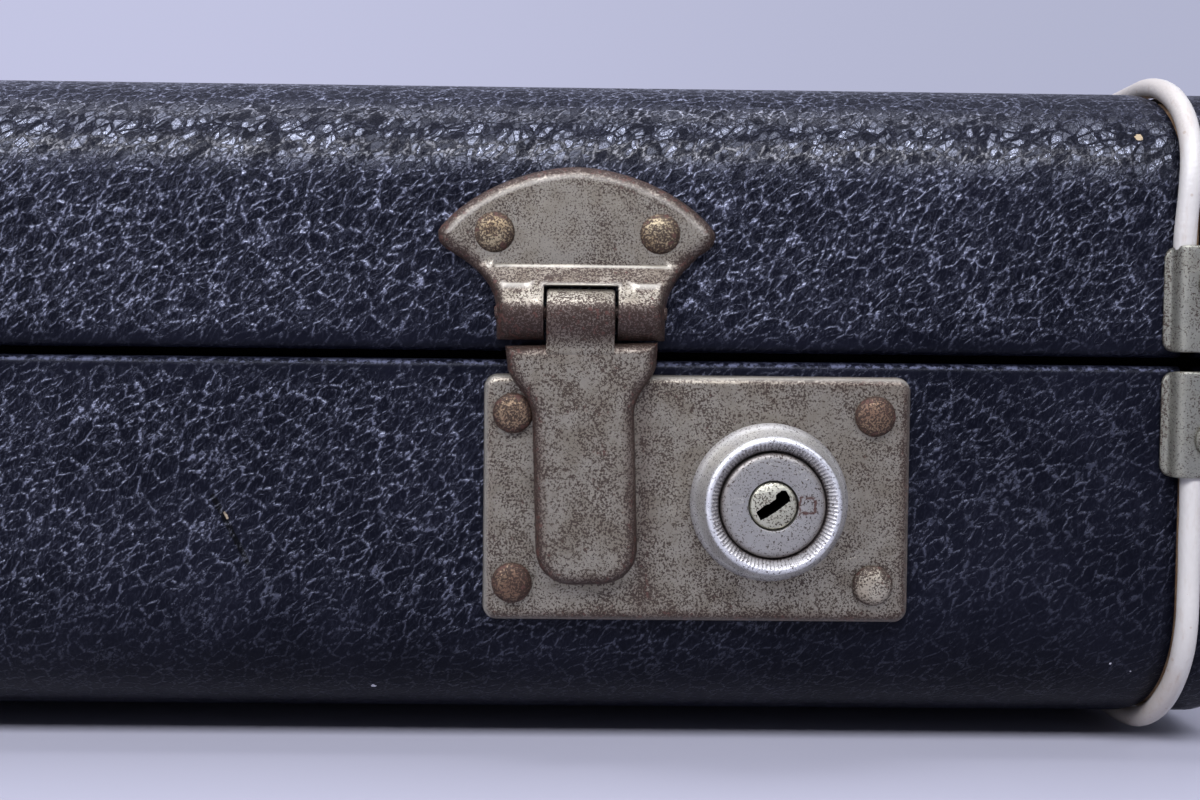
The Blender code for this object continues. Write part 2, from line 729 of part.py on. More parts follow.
def make_hinges(lid_pivot):
    """Three riveted hinges along the back."""
    metal = nickel()
    centre = HINGE_CENTRE_KNUCKLE / 2
    half = HINGE_WIDTH / 2
    names = ("left", "middle", "right")
    for index in range(HINGE_COUNT):
        x = (index - (HINGE_COUNT - 1) / 2) * HINGE_SPACING
        label = names[index]
        outer = ((-half, -centre - FIT_GAP), (centre + FIT_GAP, half))
        hinge_leaf(f"hinge_{label}_body_leaf", x, -1, outer, metal)
        hang_on(hinge_leaf(f"hinge_{label}_lid_leaf", x, 1, ((-centre, centre),), metal), lid_pivot)
        make_pin(f"hinge_{label}_pin", x, BACK_Y + HINGE_AXIS_OUT, HINGE_Z, half, HINGE_PIN_RADIUS,
                 PIN_HEAD_RADIUS, metal)


def make_pin(name, x, y, z, half, radius, head_radius, material):
    """Hinge pin along X with a head at each end, just clear of the knuckles."""
    head = half + FIT_GAP
    end = head + PIN_HEAD_THICKNESS
    profile = [(0, -end), (head_radius, -end), (head_radius, -head), (radius, -head),
               (radius, head), (head_radius, head), (head_radius, end), (0, end)]
    return turned(name, profile, (x, y, z), (1, 0, 0), SMALL_SIDES, material)


@dataclass(frozen=True)
class LockPlace:
    """Middle of one lock plate on the front face."""

    name: str
    x: float

    @property
    def z(self):
        """Height of the middle of the lock plate."""
        return BODY_RIM - PLATE_TOP_FROM_RIM - PLATE_HEIGHT / 2

    @property
    def knob(self):
        """Knob's axis where it meets the front face."""
        return self.x + KNOB_ACROSS, self.z - KNOB_DROP

    @property
    def hasp(self):
        """Hasp's hinge axis, in X and Z."""
        return self.x + HASP_ACROSS, LID_RIM + HASP_AXIS_ABOVE_LID_RIM


def out(distance):
    """Y of a point that stands a distance in front of the front face."""
    return FRONT_Y - distance


def plate_front():
    """How far the lock plate's outer face stands in front of the cover."""
    return FIT_GAP + PLATE_RISE


def rivet_places(place):
    """Middles of the four rivets of a lock plate."""
    across = PLATE_WIDTH / 2 - PLATE_RIVET_IN
    up = PLATE_HEIGHT / 2 - PLATE_RIVET_UP
    return [(place.x + side * across, place.z + level * up) for side in (-1, 1) for level in (-1, 1)]


def slide_slot(place, start, end):
    """Cutter for the slot in which the knob's stem slides."""
    x, z = place.knob
    half = SLOT_HALF_WIDTH + FIT_GAP
    outline = rounded_rectangle((x + SLIDE_TRAVEL / 2, z), 2 * half + SLIDE_TRAVEL, 2 * half,
                                half - FIT_GAP)
    return along_y("slot", outline, start, end)


def catch_place(place):
    """Middle of the catch in X, and its lower edge in Z."""
    x, axis_z = place.hasp
    return x + CATCH_DOWN * math.sin(ARM_LEAN), axis_z - CATCH_DOWN - CATCH_HEIGHT / 2


def catch_slot(place, start, end):
    """Cutter for the slot that the catch enters and swings out of."""
    middle, low = catch_place(place)
    half = CATCH_WIDTH / 2 + CATCH_CLEARANCE
    return block("catch_slot", (middle - half, end, low - CATCH_CLEARANCE),
                 (middle + half, start, low + CATCH_HEIGHT + CATCH_CLEARANCE))


def make_plate(place, material):
    """Pressed lock plate with turned-down edges."""
    centre = (place.x, place.z)
    rings = []
    for step in range(CORNER_STEPS + 1):
        turn = math.pi / 2 * step / CORNER_STEPS
        sink = PLATE_EDGE_ROUND * (1 - math.cos(turn))
        depth = plate_front() - PLATE_EDGE_ROUND * (1 - math.sin(turn))
        outline = rounded_rectangle(centre, PLATE_WIDTH - 2 * sink, PLATE_HEIGHT - 2 * sink,
                                    PLATE_CORNER - sink)
        rings.append([(x, out(depth), z) for x, z in outline])
    base = rounded_rectangle(centre, PLATE_WIDTH, PLATE_HEIGHT, PLATE_CORNER)
    rings.insert(0, [(x, out(FIT_GAP), z) for x, z in base])
    plate = loft(f"{place.name}_lock_plate", rings, material)
    width, height = PLATE_WIDTH - 2 * PLATE_SHEET, PLATE_HEIGHT - 2 * PLATE_SHEET
    hollow = rounded_rectangle(centre, width, height, PLATE_CORNER - PLATE_SHEET)
    past_front = out(plate_front() + CUT_OVERRUN)
    return cut(plate, along_y("hollow", hollow, out(FIT_GAP - CUT_OVERRUN), out(plate_front() - PLATE_SHEET)),
               slide_slot(place, out(0), past_front), catch_slot(place, out(0), past_front))


def ring_section():
    """Outer and inner sides of the knob's ring, from its base to its floor."""
    rim = KNOB_RISE
    return [(KNOB_BASE_RADIUS, 0), (KNOB_BASE_RADIUS, KNOB_FLANGE),
            (KNOB_RIM_RADIUS + KNOB_RIM_ROUND, KNOB_FLANGE + KNOB_RIM_ROUND),
            (KNOB_RIM_RADIUS, rim - KNOB_RIM_ROUND), (KNOB_RIM_RADIUS - KNOB_RIM_ROUND, rim),
            (KNOB_BORE_RADIUS, rim - KNOB_SLOPE_DEPTH), (KNOB_BORE_RADIUS, KNOB_FLOOR)]


def face_section(height):
    """Rounded edge and top of the knob's inner disc."""
    section = []
    for step in range(DOME_STEPS + 1):
        turn = math.pi / 2 * step / DOME_STEPS
        section.append((FACE_RADIUS - FACE_EDGE_ROUND * (1 - math.cos(turn)),
                        height - FACE_EDGE_ROUND * (1 - math.sin(turn))))
    return section


def plug_bore():
    """Radius of the hole that the key plug turns in."""
    return PLUG_RADIUS + PIN_GAP


def make_ring(place, material):
    """Sliding knob: a flanged ring with a sloped inner rim, and a hollow stem to the bolt."""
    x, z = place.knob
    stem_back = FIT_GAP - bolt_depths()[0] - plate_front() - FIT_GAP
    profile = [(plug_bore(), stem_back), (SLOT_HALF_WIDTH, stem_back), (SLOT_HALF_WIDTH, 0),
               *ring_section(), (plug_bore(), KNOB_FLOOR)]
    base = (x, out(plate_front() + FIT_GAP), z)
    return turned(f"{place.name}_slide_ring", profile, base, (0, -1, 0), 2 * ROUND_SIDES, material)


def face_front():
    """How far the knob's inner face stands in front of the cover."""
    return plate_front() + FIT_GAP + KNOB_RISE - FACE_BELOW_RIM


def make_face(place, material):
    """Inner face disc of a knob, with rounded edge."""
    x, z = place.knob
    seat = plate_front() + 2 * FIT_GAP + KNOB_FLOOR
    height = face_front() - seat
    profile = [(plug_bore(), 0), (FACE_RADIUS, 0), *face_section(height), (plug_bore(), height)]
    return turned(f"{place.name}_knob_face", profile, (x, out(seat), z), (0, -1, 0),
                  2 * ROUND_SIDES, material)


def make_plain_knob(place, material):
    """Keyless knob turned in one piece, with a stem and a retainer behind the plate."""
    x, z = place.knob
    front = -PLATE_SHEET - 2 * FIT_GAP
    back = front - RETAINER_THICKNESS
    profile = [(0, back), (RETAINER_RADIUS, back), (RETAINER_RADIUS, front), (SLOT_HALF_WIDTH, front),
               (SLOT_HALF_WIDTH, 0), *ring_section(), (FACE_RADIUS, KNOB_FLOOR),
               *face_section(KNOB_RISE - FACE_BELOW_RIM), (0, KNOB_RISE - FACE_BELOW_RIM)]
    base = (x, out(plate_front() + FIT_GAP), z)
    return turned(f"{place.name}_slide_knob", profile, base, (0, -1, 0), 2 * ROUND_SIDES, material)


def make_hasp_bracket(place, lid_pivot, material):
    """Fan-shaped bracket on the lid with two curled knuckles."""
    x, axis_z = place.hasp
    outline = []
    for side in (1, -1):
        half = [(FAN_NECK_HALF_WIDTH, 0)]
        for step in range(CORNER_STEPS + 1):
            share = step / CORNER_STEPS
            spread = FAN_HALF_WIDTH - FAN_NECK_HALF_WIDTH
            half.append((FAN_NECK_HALF_WIDTH + spread * share ** 2,
                         FAN_STEP_UP + (FAN_TIP_UP - FAN_STEP_UP) * share))
        for step in range(1, EDGE_STEPS + 1):
            turn = math.pi / 2 * step / EDGE_STEPS
            half.append((FAN_HALF_WIDTH * math.cos(turn),
                         FAN_TIP_UP + (FAN_TOP_UP - FAN_TIP_UP) * math.sin(turn)))
        points = [(x + side * across, axis_z + up) for across, up in half]
        outline += points if side > 0 else points[-2::-1]
    bracket = along_y(f"{place.name}_hasp_bracket", outline, out(FIT_GAP), out(FIT_GAP + HASP_SHEET),
                      material)
    inner = HASP_CENTRE_KNUCKLE / 2 + FIT_GAP
    outer = inner + HASP_SIDE_KNUCKLE
    clear = HASP_KNUCKLE_RADIUS + FIT_GAP
    relief = block("relief", (x - inner, out(HASP_AXIS_OUT), axis_z - clear),
                   (x + inner, out(-CUT_OVERRUN), axis_z + clear))
    cut(bracket, relief)
    for start, end in ((-outer, -inner), (inner, outer)):
        barrel = rod("barrel", (x + start, out(HASP_AXIS_OUT), axis_z), (x + end, out(HASP_AXIS_OUT), axis_z),
                     HASP_KNUCKLE_RADIUS, SMALL_SIDES)
        join(bracket, barrel)
    reach = outer + CUT_OVERRUN
    bore = rod("bore", (x - reach, out(HASP_AXIS_OUT), axis_z), (x + reach, out(HASP_AXIS_OUT), axis_z),
               HASP_PIN_RADIUS + PIN_GAP, SMALL_SIDES)
    cut(bracket, bore)
    return hang_on(resmooth(bracket), lid_pivot)


def arm_outline(place):
    """Outline of a hasp arm in X and Z: wide top, curved shoulders, rounded end."""
    x, axis_z = place.hasp
    top = HASP_KNUCKLE_RADIUS + FIT_GAP
    tab = HASP_CENTRE_KNUCKLE / 2
    half = [(tab, (top + HASP_PIN_RADIUS) / 2), (tab, top), (ARM_TOP_HALF_WIDTH, top)]
    for step in range(CORNER_STEPS + 1):
        turn = math.pi / 2 * step / CORNER_STEPS
        half.append((ARM_HALF_WIDTH + (ARM_TOP_HALF_WIDTH - ARM_HALF_WIDTH) * (1 - math.sin(turn)),
                     ARM_SHOULDER_DOWN + (ARM_WAIST_DOWN - ARM_SHOULDER_DOWN) * (1 - math.cos(turn))))
    for step in range(CORNER_STEPS + 1):
        turn = math.pi / 2 * step / CORNER_STEPS
        half.append((ARM_HALF_WIDTH - ARM_CORNER * (1 - math.cos(turn)),
                     ARM_LENGTH - ARM_CORNER * (1 - math.sin(turn))))
    flat = half + [(-across, down) for across, down in reversed(half)]
    return [(x + across * math.cos(ARM_LEAN) + down * math.sin(ARM_LEAN),
             axis_z - down * math.cos(ARM_LEAN) + across * math.sin(ARM_LEAN)) for across, down in flat]


def arm_back():
    """How far the back of a hasp arm stands in front of the cover."""
    return plate_front() + ARM_CLEAR_OF_PLATE


def make_hasp(place, pivot, material):
    """Hasp arm with its centre knuckle and the catch behind it."""
    x, axis_z = place.hasp
    arm = along_y(f"{place.name}_hasp", arm_outline(place), out(arm_back()),
                  out(arm_back() + ARM_THICKNESS), material)
    half = HASP_CENTRE_KNUCKLE / 2
    barrel = rod("barrel", (x - half, out(HASP_AXIS_OUT), axis_z), (x + half, out(HASP_AXIS_OUT), axis_z),
                 HASP_KNUCKLE_RADIUS, SMALL_SIDES)
    middle, low = catch_place(place)
    catch = block("catch", (middle - CATCH_WIDTH / 2, out(arm_back() + ARM_THICKNESS / 2), low),
                  (middle + CATCH_WIDTH / 2, out(2 * FIT_GAP), low + CATCH_HEIGHT))
    join(arm, barrel, catch)
    bore = rod("bore", (x - half - CUT_OVERRUN, out(HASP_AXIS_OUT), axis_z),
               (x + half + CUT_OVERRUN, out(HASP_AXIS_OUT), axis_z), HASP_PIN_RADIUS + PIN_GAP, SMALL_SIDES)
    cut(arm, bore)
    return hang_on(resmooth(arm), pivot)


def make_hasp_pin(place, lid_pivot, material):
    """Pin through a hasp's knuckles."""
    x, axis_z = place.hasp
    half = HASP_CENTRE_KNUCKLE / 2 + FIT_GAP + HASP_SIDE_KNUCKLE
    pin = make_pin(f"{place.name}_hasp_pin", x, out(HASP_AXIS_OUT), axis_z, half, HASP_PIN_RADIUS,
                   HASP_PIN_RADIUS + PIN_GAP + FIT_GAP, material)
    return hang_on(pin, lid_pivot)


def fan_rivet_places(place):
    """Middles of the two rivets of a hasp bracket."""
    x, axis_z = place.hasp
    return [(x + side * FAN_RIVET_ACROSS, axis_z + FAN_RIVET_UP) for side in (-1, 1)]


def drill(targets, centre, start, end, radius):
    """Cut one round hole along Y through several pieces."""
    for target in targets:
        cut(target, rod("drill", (centre[0], start, centre[1]), (centre[0], end, centre[1]),
                        radius, SMALL_SIDES))


def make_right_lock(frames, covers, lid_pivot):
    """Key lock: every rivet, the lock box and the bolt are pieces of their own."""
    place = LockPlace("right", LOCK_X)
    metal, satin = nickel(), satin_metal()
    plate = make_plate(place, metal)
    front = plate_front()
    hole = RIVET_SHANK_RADIUS + FIT_GAP
    bite = RIVET_BITE + FIT_GAP
    for index, (x, z) in enumerate(rivet_places(place), start=1):
        rivet(f"lock_rivet_{index}", (x, out(front + FIT_GAP), z), (0, -1, 0),
              front + FIT_GAP + RIVET_BITE, metal)
        drill((plate, covers["body"], frames["body"]), (x, z), out(front + CUT_OVERRUN), out(-bite), hole)
    bracket = make_hasp_bracket(place, lid_pivot, metal)
    sheet_front = FIT_GAP + HASP_SHEET
    for index, (x, z) in enumerate(fan_rivet_places(place), start=1):
        head = rivet(f"hasp_rivet_{index}", (x, out(sheet_front + FIT_GAP), z), (0, -1, 0),
                     sheet_front + FIT_GAP + RIVET_BITE, metal)
        hang_on(head, lid_pivot)
        drill((bracket, covers["lid"], frames["lid"]), (x, z), out(sheet_front + CUT_OVERRUN),
              out(-bite), hole)
    resmooth(plate)
    make_hasp_pin(place, lid_pivot, metal)
    pivot = make_pivot("right_hasp_axis", (place.hasp[0], out(HASP_AXIS_OUT), place.hasp[1]))
    make_hasp(place, pivot, metal)
    cut_mortise(place, frames["body"], covers["body"])
    make_lock_box(place, metal)
    make_bolt(place, metal)
    make_key_knob(place, satin, metal)


def lock_box_centre(place):
    """Middle of the lock box behind the plate."""
    return (place.x + place.knob[0]) / 2, place.knob[1]


def cut_mortise(place, frame, cover):
    """Pocket in the front rail, and the window in the cover, for the lock box."""
    x, z = lock_box_centre(place)
    half_width = LOCK_BOX_WIDTH / 2 + FIT_GAP
    half_height = LOCK_BOX_HEIGHT / 2 + FIT_GAP
    for target in (frame, cover):
        cut(target, block("mortise", (x - half_width, out(CUT_OVERRUN), z - half_height),
                          (x + half_width, out(-LOCK_BOX_DEPTH - 2 * FIT_GAP), z + half_height)))


def make_lock_box(place, material):
    """Open sheet-metal box in the rail, with the spring tongue that returns the bolt."""
    x, z = lock_box_centre(place)
    half_width, half_height = LOCK_BOX_WIDTH / 2, LOCK_BOX_HEIGHT / 2
    back, front = out(-LOCK_BOX_DEPTH - FIT_GAP), out(FIT_GAP)
    box = block("lock_box", (x - half_width, front, z - half_height),
                (x + half_width, back, z + half_height), material)
    sheet = LOCK_BOX_SHEET
    hollow = block("hollow", (x - half_width + sheet, front - CUT_OVERRUN, z - half_height + sheet),
                   (x + half_width - sheet, back - sheet, z + half_height - sheet))
    cut(box, hollow)
    left = spring_left(place)
    tongue = block("tongue", (left, out(-FIT_GAP), z - SPRING_HEIGHT / 2),
                   (left + SPRING_THICKNESS, back - sheet / 2, z + SPRING_HEIGHT / 2))
    return join(box, tongue)


def spring_left(place):
    """Side of the spring tongue that faces the bolt."""
    wall = lock_box_centre(place)[0] + LOCK_BOX_WIDTH / 2 - LOCK_BOX_SHEET
    return wall - SPRING_FROM_WALL - SPRING_THICKNESS


def bolt_ends(place):
    """Left and right ends of the bolt at rest: it travels from the far wall to the spring."""
    wall = lock_box_centre(place)[0] - LOCK_BOX_WIDTH / 2 + LOCK_BOX_SHEET
    return wall + SPRING_FROM_WALL, spring_left(place) - SLIDE_TRAVEL - 2 * FIT_GAP


def bolt_depths():
    """Front and back of the bolt, behind the front face."""
    front = FIT_GAP + LOCK_BOX_SHEET
    return front, front + BOLT_THICKNESS


def make_bolt(place, material):
    """Flat bolt with a notch that grips the catch and a hole for the key plug."""
    x, z = place.knob
    front, back = bolt_depths()
    left, right = bolt_ends(place)
    bolt = block("lock_bolt", (left, out(-front), z - BOLT_HEIGHT / 2),
                 (right, out(-back), z + BOLT_HEIGHT / 2), material)
    notch = block("notch", (left - CUT_OVERRUN, out(CUT_OVERRUN), z - BOLT_NOTCH / 2),
                  (left + BOLT_NOTCH, out(-back - CUT_OVERRUN), z + BOLT_NOTCH / 2))
    bore = rod("bore", (x, out(CUT_OVERRUN), z), (x, out(-back - CUT_OVERRUN), z),
               plug_bore(), ROUND_SIDES)
    return resmooth(cut(bolt, notch, bore))


def make_key_knob(place, satin, metal):
    """Knob with its face disc and the key plug that turns inside them."""
    x, z = place.knob
    make_ring(place, satin)
    make_face(place, satin)
    plug_back = bolt_depths()[1]
    front = face_front()
    plug = rod("key_plug", (x, out(-plug_back), z), (x, out(front - FIT_GAP), z), PLUG_RADIUS,
               ROUND_SIDES, metal)
    slot = block("slot", (-KEY_SLOT_LENGTH / 2, -front - CUT_OVERRUN, -KEY_SLOT_WIDTH / 2),
                 (KEY_SLOT_LENGTH / 2, KEY_SLOT_DEPTH - front, KEY_SLOT_WIDTH / 2))
    slot.data.transform(Matrix.Translation((x, FRONT_Y, z)) @ Matrix.Rotation(-KEY_SLOT_TURN, 4, "Y"))
    cut(plug, slot)
    pivot = make_pivot("key_plug_axis", (x, out(front), z))
    hang_on(resmooth(plug), pivot)


def make_left_latch(lid_pivot):
    """Keyless latch: rivets are made in one with the piece that they fasten."""
    place = LockPlace("left", -LOCK_X)
    metal, satin = nickel(), satin_metal()
    plate = make_plate(place, metal)
    for x, z in rivet_places(place):
        join(plate, rivet("head", (x, out(plate_front() - FIT_GAP), z), (0, -1, 0), PLATE_SHEET / 2))
    resmooth(plate)
    bracket = make_hasp_bracket(place, lid_pivot, metal)
    bracket.parent = None
    for x, z in fan_rivet_places(place):
        join(bracket, rivet("head", (x, out(HASP_SHEET), z), (0, -1, 0), HASP_SHEET / 2))
    hang_on(resmooth(bracket), lid_pivot)
    make_hasp_pin(place, lid_pivot, metal)
    pivot = make_pivot("left_hasp_axis", (place.hasp[0], out(HASP_AXIS_OUT), place.hasp[1]))
    make_hasp(place, pivot, metal)
    make_plain_knob(place, satin)


def handle_axis_z():
    """Height of the carrying handle's hinge axis."""
    return BODY_RIM - HANDLE_AXIS_BELOW_RIM


def make_handle():
    """Moulded grip hanging from two brackets on the front rail."""
    grip_material, metal = handle_cover(), nickel()
    y, z = out(HANDLE_AXIS_OUT), handle_axis_z()
    half = HANDLE_SPREAD / 2
    path = [Vector((-half, y, z + GRIP_END_RADIUS)), Vector((-half, y, z - HANDLE_EAR_RADIUS))]
    for side in (-1, 1):
        centre = (side * (half - HANDLE_BEND), z - HANDLE_DROP + GRIP_RADIUS + HANDLE_BEND)
        for step in range(EDGE_STEPS + 1):
            turn = math.pi / 2 * step / EDGE_STEPS
            swing = turn if side < 0 else math.pi / 2 - turn
            path.append(Vector((centre[0] + side * HANDLE_BEND * math.cos(swing), y,
                                centre[1] - HANDLE_BEND * math.sin(swing))))
    path += [Vector((half, y, z - HANDLE_EAR_RADIUS)), Vector((half, y, z + GRIP_END_RADIUS))]
    rings = []
    last = len(path) - 1
    for index, point in enumerate(path):
        forward = (path[min(index + 1, last)] - path[max(index - 1, 0)]).normalized()
        across = Vector((-forward.z, 0, forward.x))
        growth = max(min(index, last - index) - 1, 0) / (EDGE_STEPS + 1)
        radius = GRIP_END_RADIUS + (GRIP_RADIUS - GRIP_END_RADIUS) * min(growth, 1)
        turns = [2 * math.pi * step / SMALL_SIDES for step in range(SMALL_SIDES)]
        rings.append([point + across * (radius * math.cos(turn)) + Vector((0, radius * math.sin(turn), 0))
                      for turn in turns])
    grip = loft("handle_grip", rings, grip_material)
    for side in (-1, 1):
        reach = GRIP_END_RADIUS + FIT_GAP + CUT_OVERRUN
        bore = rod("bore", (side * half - reach, y, z), (side * half + reach, y, z),
                   HANDLE_PIN_RADIUS + PIN_GAP, SMALL_SIDES)
        cut(grip, bore)
        make_handle_bracket(side, half, y, z, metal)
    pivot = make_pivot("handle_axis", (0, y, z))
    hang_on(resmooth(grip), pivot)


def make_handle_bracket(side, half, y, z, material):
    """Base on the cover with two ears and the pin that the grip turns on."""
    x = side * half
    base_front = FIT_GAP + HANDLE_BASE_THICKNESS
    base_outline = rounded_rectangle((x, z), HANDLE_BASE_WIDTH, HANDLE_BASE_HEIGHT, RIVET_RADIUS)
    bracket = along_y(f"handle_bracket_{side_name(side)}", base_outline, out(FIT_GAP), out(base_front),
                      material)
    inner = GRIP_END_RADIUS + FIT_GAP
    for flank in (-1, 1):
        foot = out(base_front - HANDLE_BASE_THICKNESS / 2)
        outline = [(foot, z - HANDLE_EAR_RADIUS)]
        for step in range(2 * CORNER_STEPS + 1):
            turn = math.pi * (step / (2 * CORNER_STEPS) - 1 / 2)
            outline.append((y - HANDLE_EAR_RADIUS * math.cos(turn), z + HANDLE_EAR_RADIUS * math.sin(turn)))
        outline.append((foot, z + HANDLE_EAR_RADIUS))
        near, far = sorted((x + flank * inner, x + flank * (inner + HANDLE_EAR_THICKNESS)))
        join(bracket, along_x("ear", outline, near, far))
    reach = inner + HANDLE_EAR_THICKNESS / 2
    join(bracket, rod("pin", (x - reach, y, z), (x + reach, y, z), HANDLE_PIN_RADIUS, SMALL_SIDES))
    return resmooth(bracket)


def main():
    """Build the whole case."""
    clear_scene()
    lid_pivot = make_pivot("lid_axis", (0, BACK_Y + HINGE_AXIS_OUT, HINGE_Z))
    body_frame, body_cover, _ = make_shell(BODY, "bottom_panel", -LINING_LIP - SPLIT_GAP)
    lid_frame, lid_cover, lid_pieces = make_shell(LID, "top_panel", LID_LINING_SETBACK)
    frames = {"body": body_frame, "lid": lid_frame}
    covers = {"body": body_cover, "lid": lid_cover}
    make_inside()
    make_hinges(lid_pivot)
    make_right_lock(frames, covers, lid_pivot)
    make_left_latch(lid_pivot)
    make_handle()
    for item in [lid_frame, lid_cover, *lid_pieces]:
        hang_on(item, lid_pivot)
    for item in (body_frame, body_cover, lid_frame, lid_cover):
        resmooth(item)


main()
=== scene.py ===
"""Looks of the rectangular guitar case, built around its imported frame.

The photograph shows the front right corner of a closed, well used case: pebbled navy
leathercloth, an aged nickel lock with a hasp and a sliding key knob, and a white piping
bead whose cut ends are held by riveted clips. Every sub-assembly here is a class that
takes its places from the frame, builds its meshes and dresses them. Lengths are metres.
"""

import logging
import math
from dataclasses import dataclass
from enum import Enum
from typing import Callable, ClassVar, Sequence

import bmesh
import bpy
from mathutils import Matrix, Vector, noise
from mathutils.geometry import delaunay_2d_cdt


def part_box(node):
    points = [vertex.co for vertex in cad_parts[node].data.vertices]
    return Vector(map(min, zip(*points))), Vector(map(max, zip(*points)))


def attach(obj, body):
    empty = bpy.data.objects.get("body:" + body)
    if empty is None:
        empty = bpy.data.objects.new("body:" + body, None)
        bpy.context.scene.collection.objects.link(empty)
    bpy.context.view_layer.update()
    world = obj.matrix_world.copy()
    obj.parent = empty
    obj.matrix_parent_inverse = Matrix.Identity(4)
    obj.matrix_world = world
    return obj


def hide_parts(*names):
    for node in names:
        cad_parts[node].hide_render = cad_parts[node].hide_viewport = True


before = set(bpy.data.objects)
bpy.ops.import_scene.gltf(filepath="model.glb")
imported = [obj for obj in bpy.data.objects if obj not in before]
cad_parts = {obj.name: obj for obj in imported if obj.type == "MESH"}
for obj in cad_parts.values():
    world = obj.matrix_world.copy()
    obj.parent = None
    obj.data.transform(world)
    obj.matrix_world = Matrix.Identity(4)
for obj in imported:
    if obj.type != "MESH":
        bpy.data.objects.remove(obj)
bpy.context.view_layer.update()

LOG = logging.getLogger("guitar_case")
MM = 0.001
PER_MM = 1000.0
TINY = 1e-6
SMOOTH_ANGLE = math.radians(38)
QUARTER = math.pi / 2
OUT_OF_FRONT = (0, -1, 0)

Colour = tuple[float, float, float]
Point2 = tuple[float, float]
Field = Callable[[float, float], float]
Item = bpy.types.Object
Feed = object
Feeds = dict[str, Feed]
Inputs = dict[int | str, Feed]


class Direction(Enum):
    """Direction along an axis, valued by its sign."""

    @property
    def label(self) -> str:
        """Word used in node names."""
        return self.name.lower()


class Side(Direction):
    """End of the case along X."""

    LEFT = -1
    RIGHT = 1


class Face(Direction):
    """Long face of the case along Y."""

    FRONT = -1
    BACK = 1


class Slot(Enum):
    """Material slots of the record."""

    CLOTH = "leathercloth"
    PIPING = "piping_vinyl"
    NICKEL = "nickel"
    SATIN = "satin_metal"
    WOOD = "plywood"
    PLUSH = "plush"
    HANDLE = "handle_cover"


# Node wiring


class Wiring:
    """Adds nodes to one node tree and links them."""

    def __init__(self, tree: bpy.types.NodeTree) -> None:
        """Keep the tree that the nodes go into."""
        self.tree = tree

    def feed(self, socket: bpy.types.NodeSocket, value: Feed) -> None:
        """Link a socket from a signal, or set its value."""
        if isinstance(value, Signal):
            self.tree.links.new(value.socket, socket)
        else:
            socket.default_value = value

    def node(self, kind: str, inputs: Inputs, **settings: object) -> bpy.types.Node:
        """Add one node.

        Args:
            kind: Blender's type name.
            inputs: values or signals for the node's inputs, by name or index.
            settings: properties to set before the inputs.

        Returns:
            The new node.
        """
        item = self.tree.nodes.new(kind)
        for name, value in settings.items():
            setattr(item, name, value)
        for key, value in inputs.items():
            self.feed(item.inputs[key], value)
        return item

    def signal(self, kind: str, inputs: Inputs, output: int | str = 0,
               wide: bool = False, **settings: object) -> "Signal":
        """Add one node and take one of its outputs.

        Args:
            kind: Blender's type name.
            inputs: values or signals for the node's inputs, by name or index.
            output: name or index of the output.
            wide: whether the output is a vector.
            settings: properties to set before the inputs.

        Returns:
            The output.
        """
        return Signal(self, self.node(kind, inputs, **settings).outputs[output], wide)


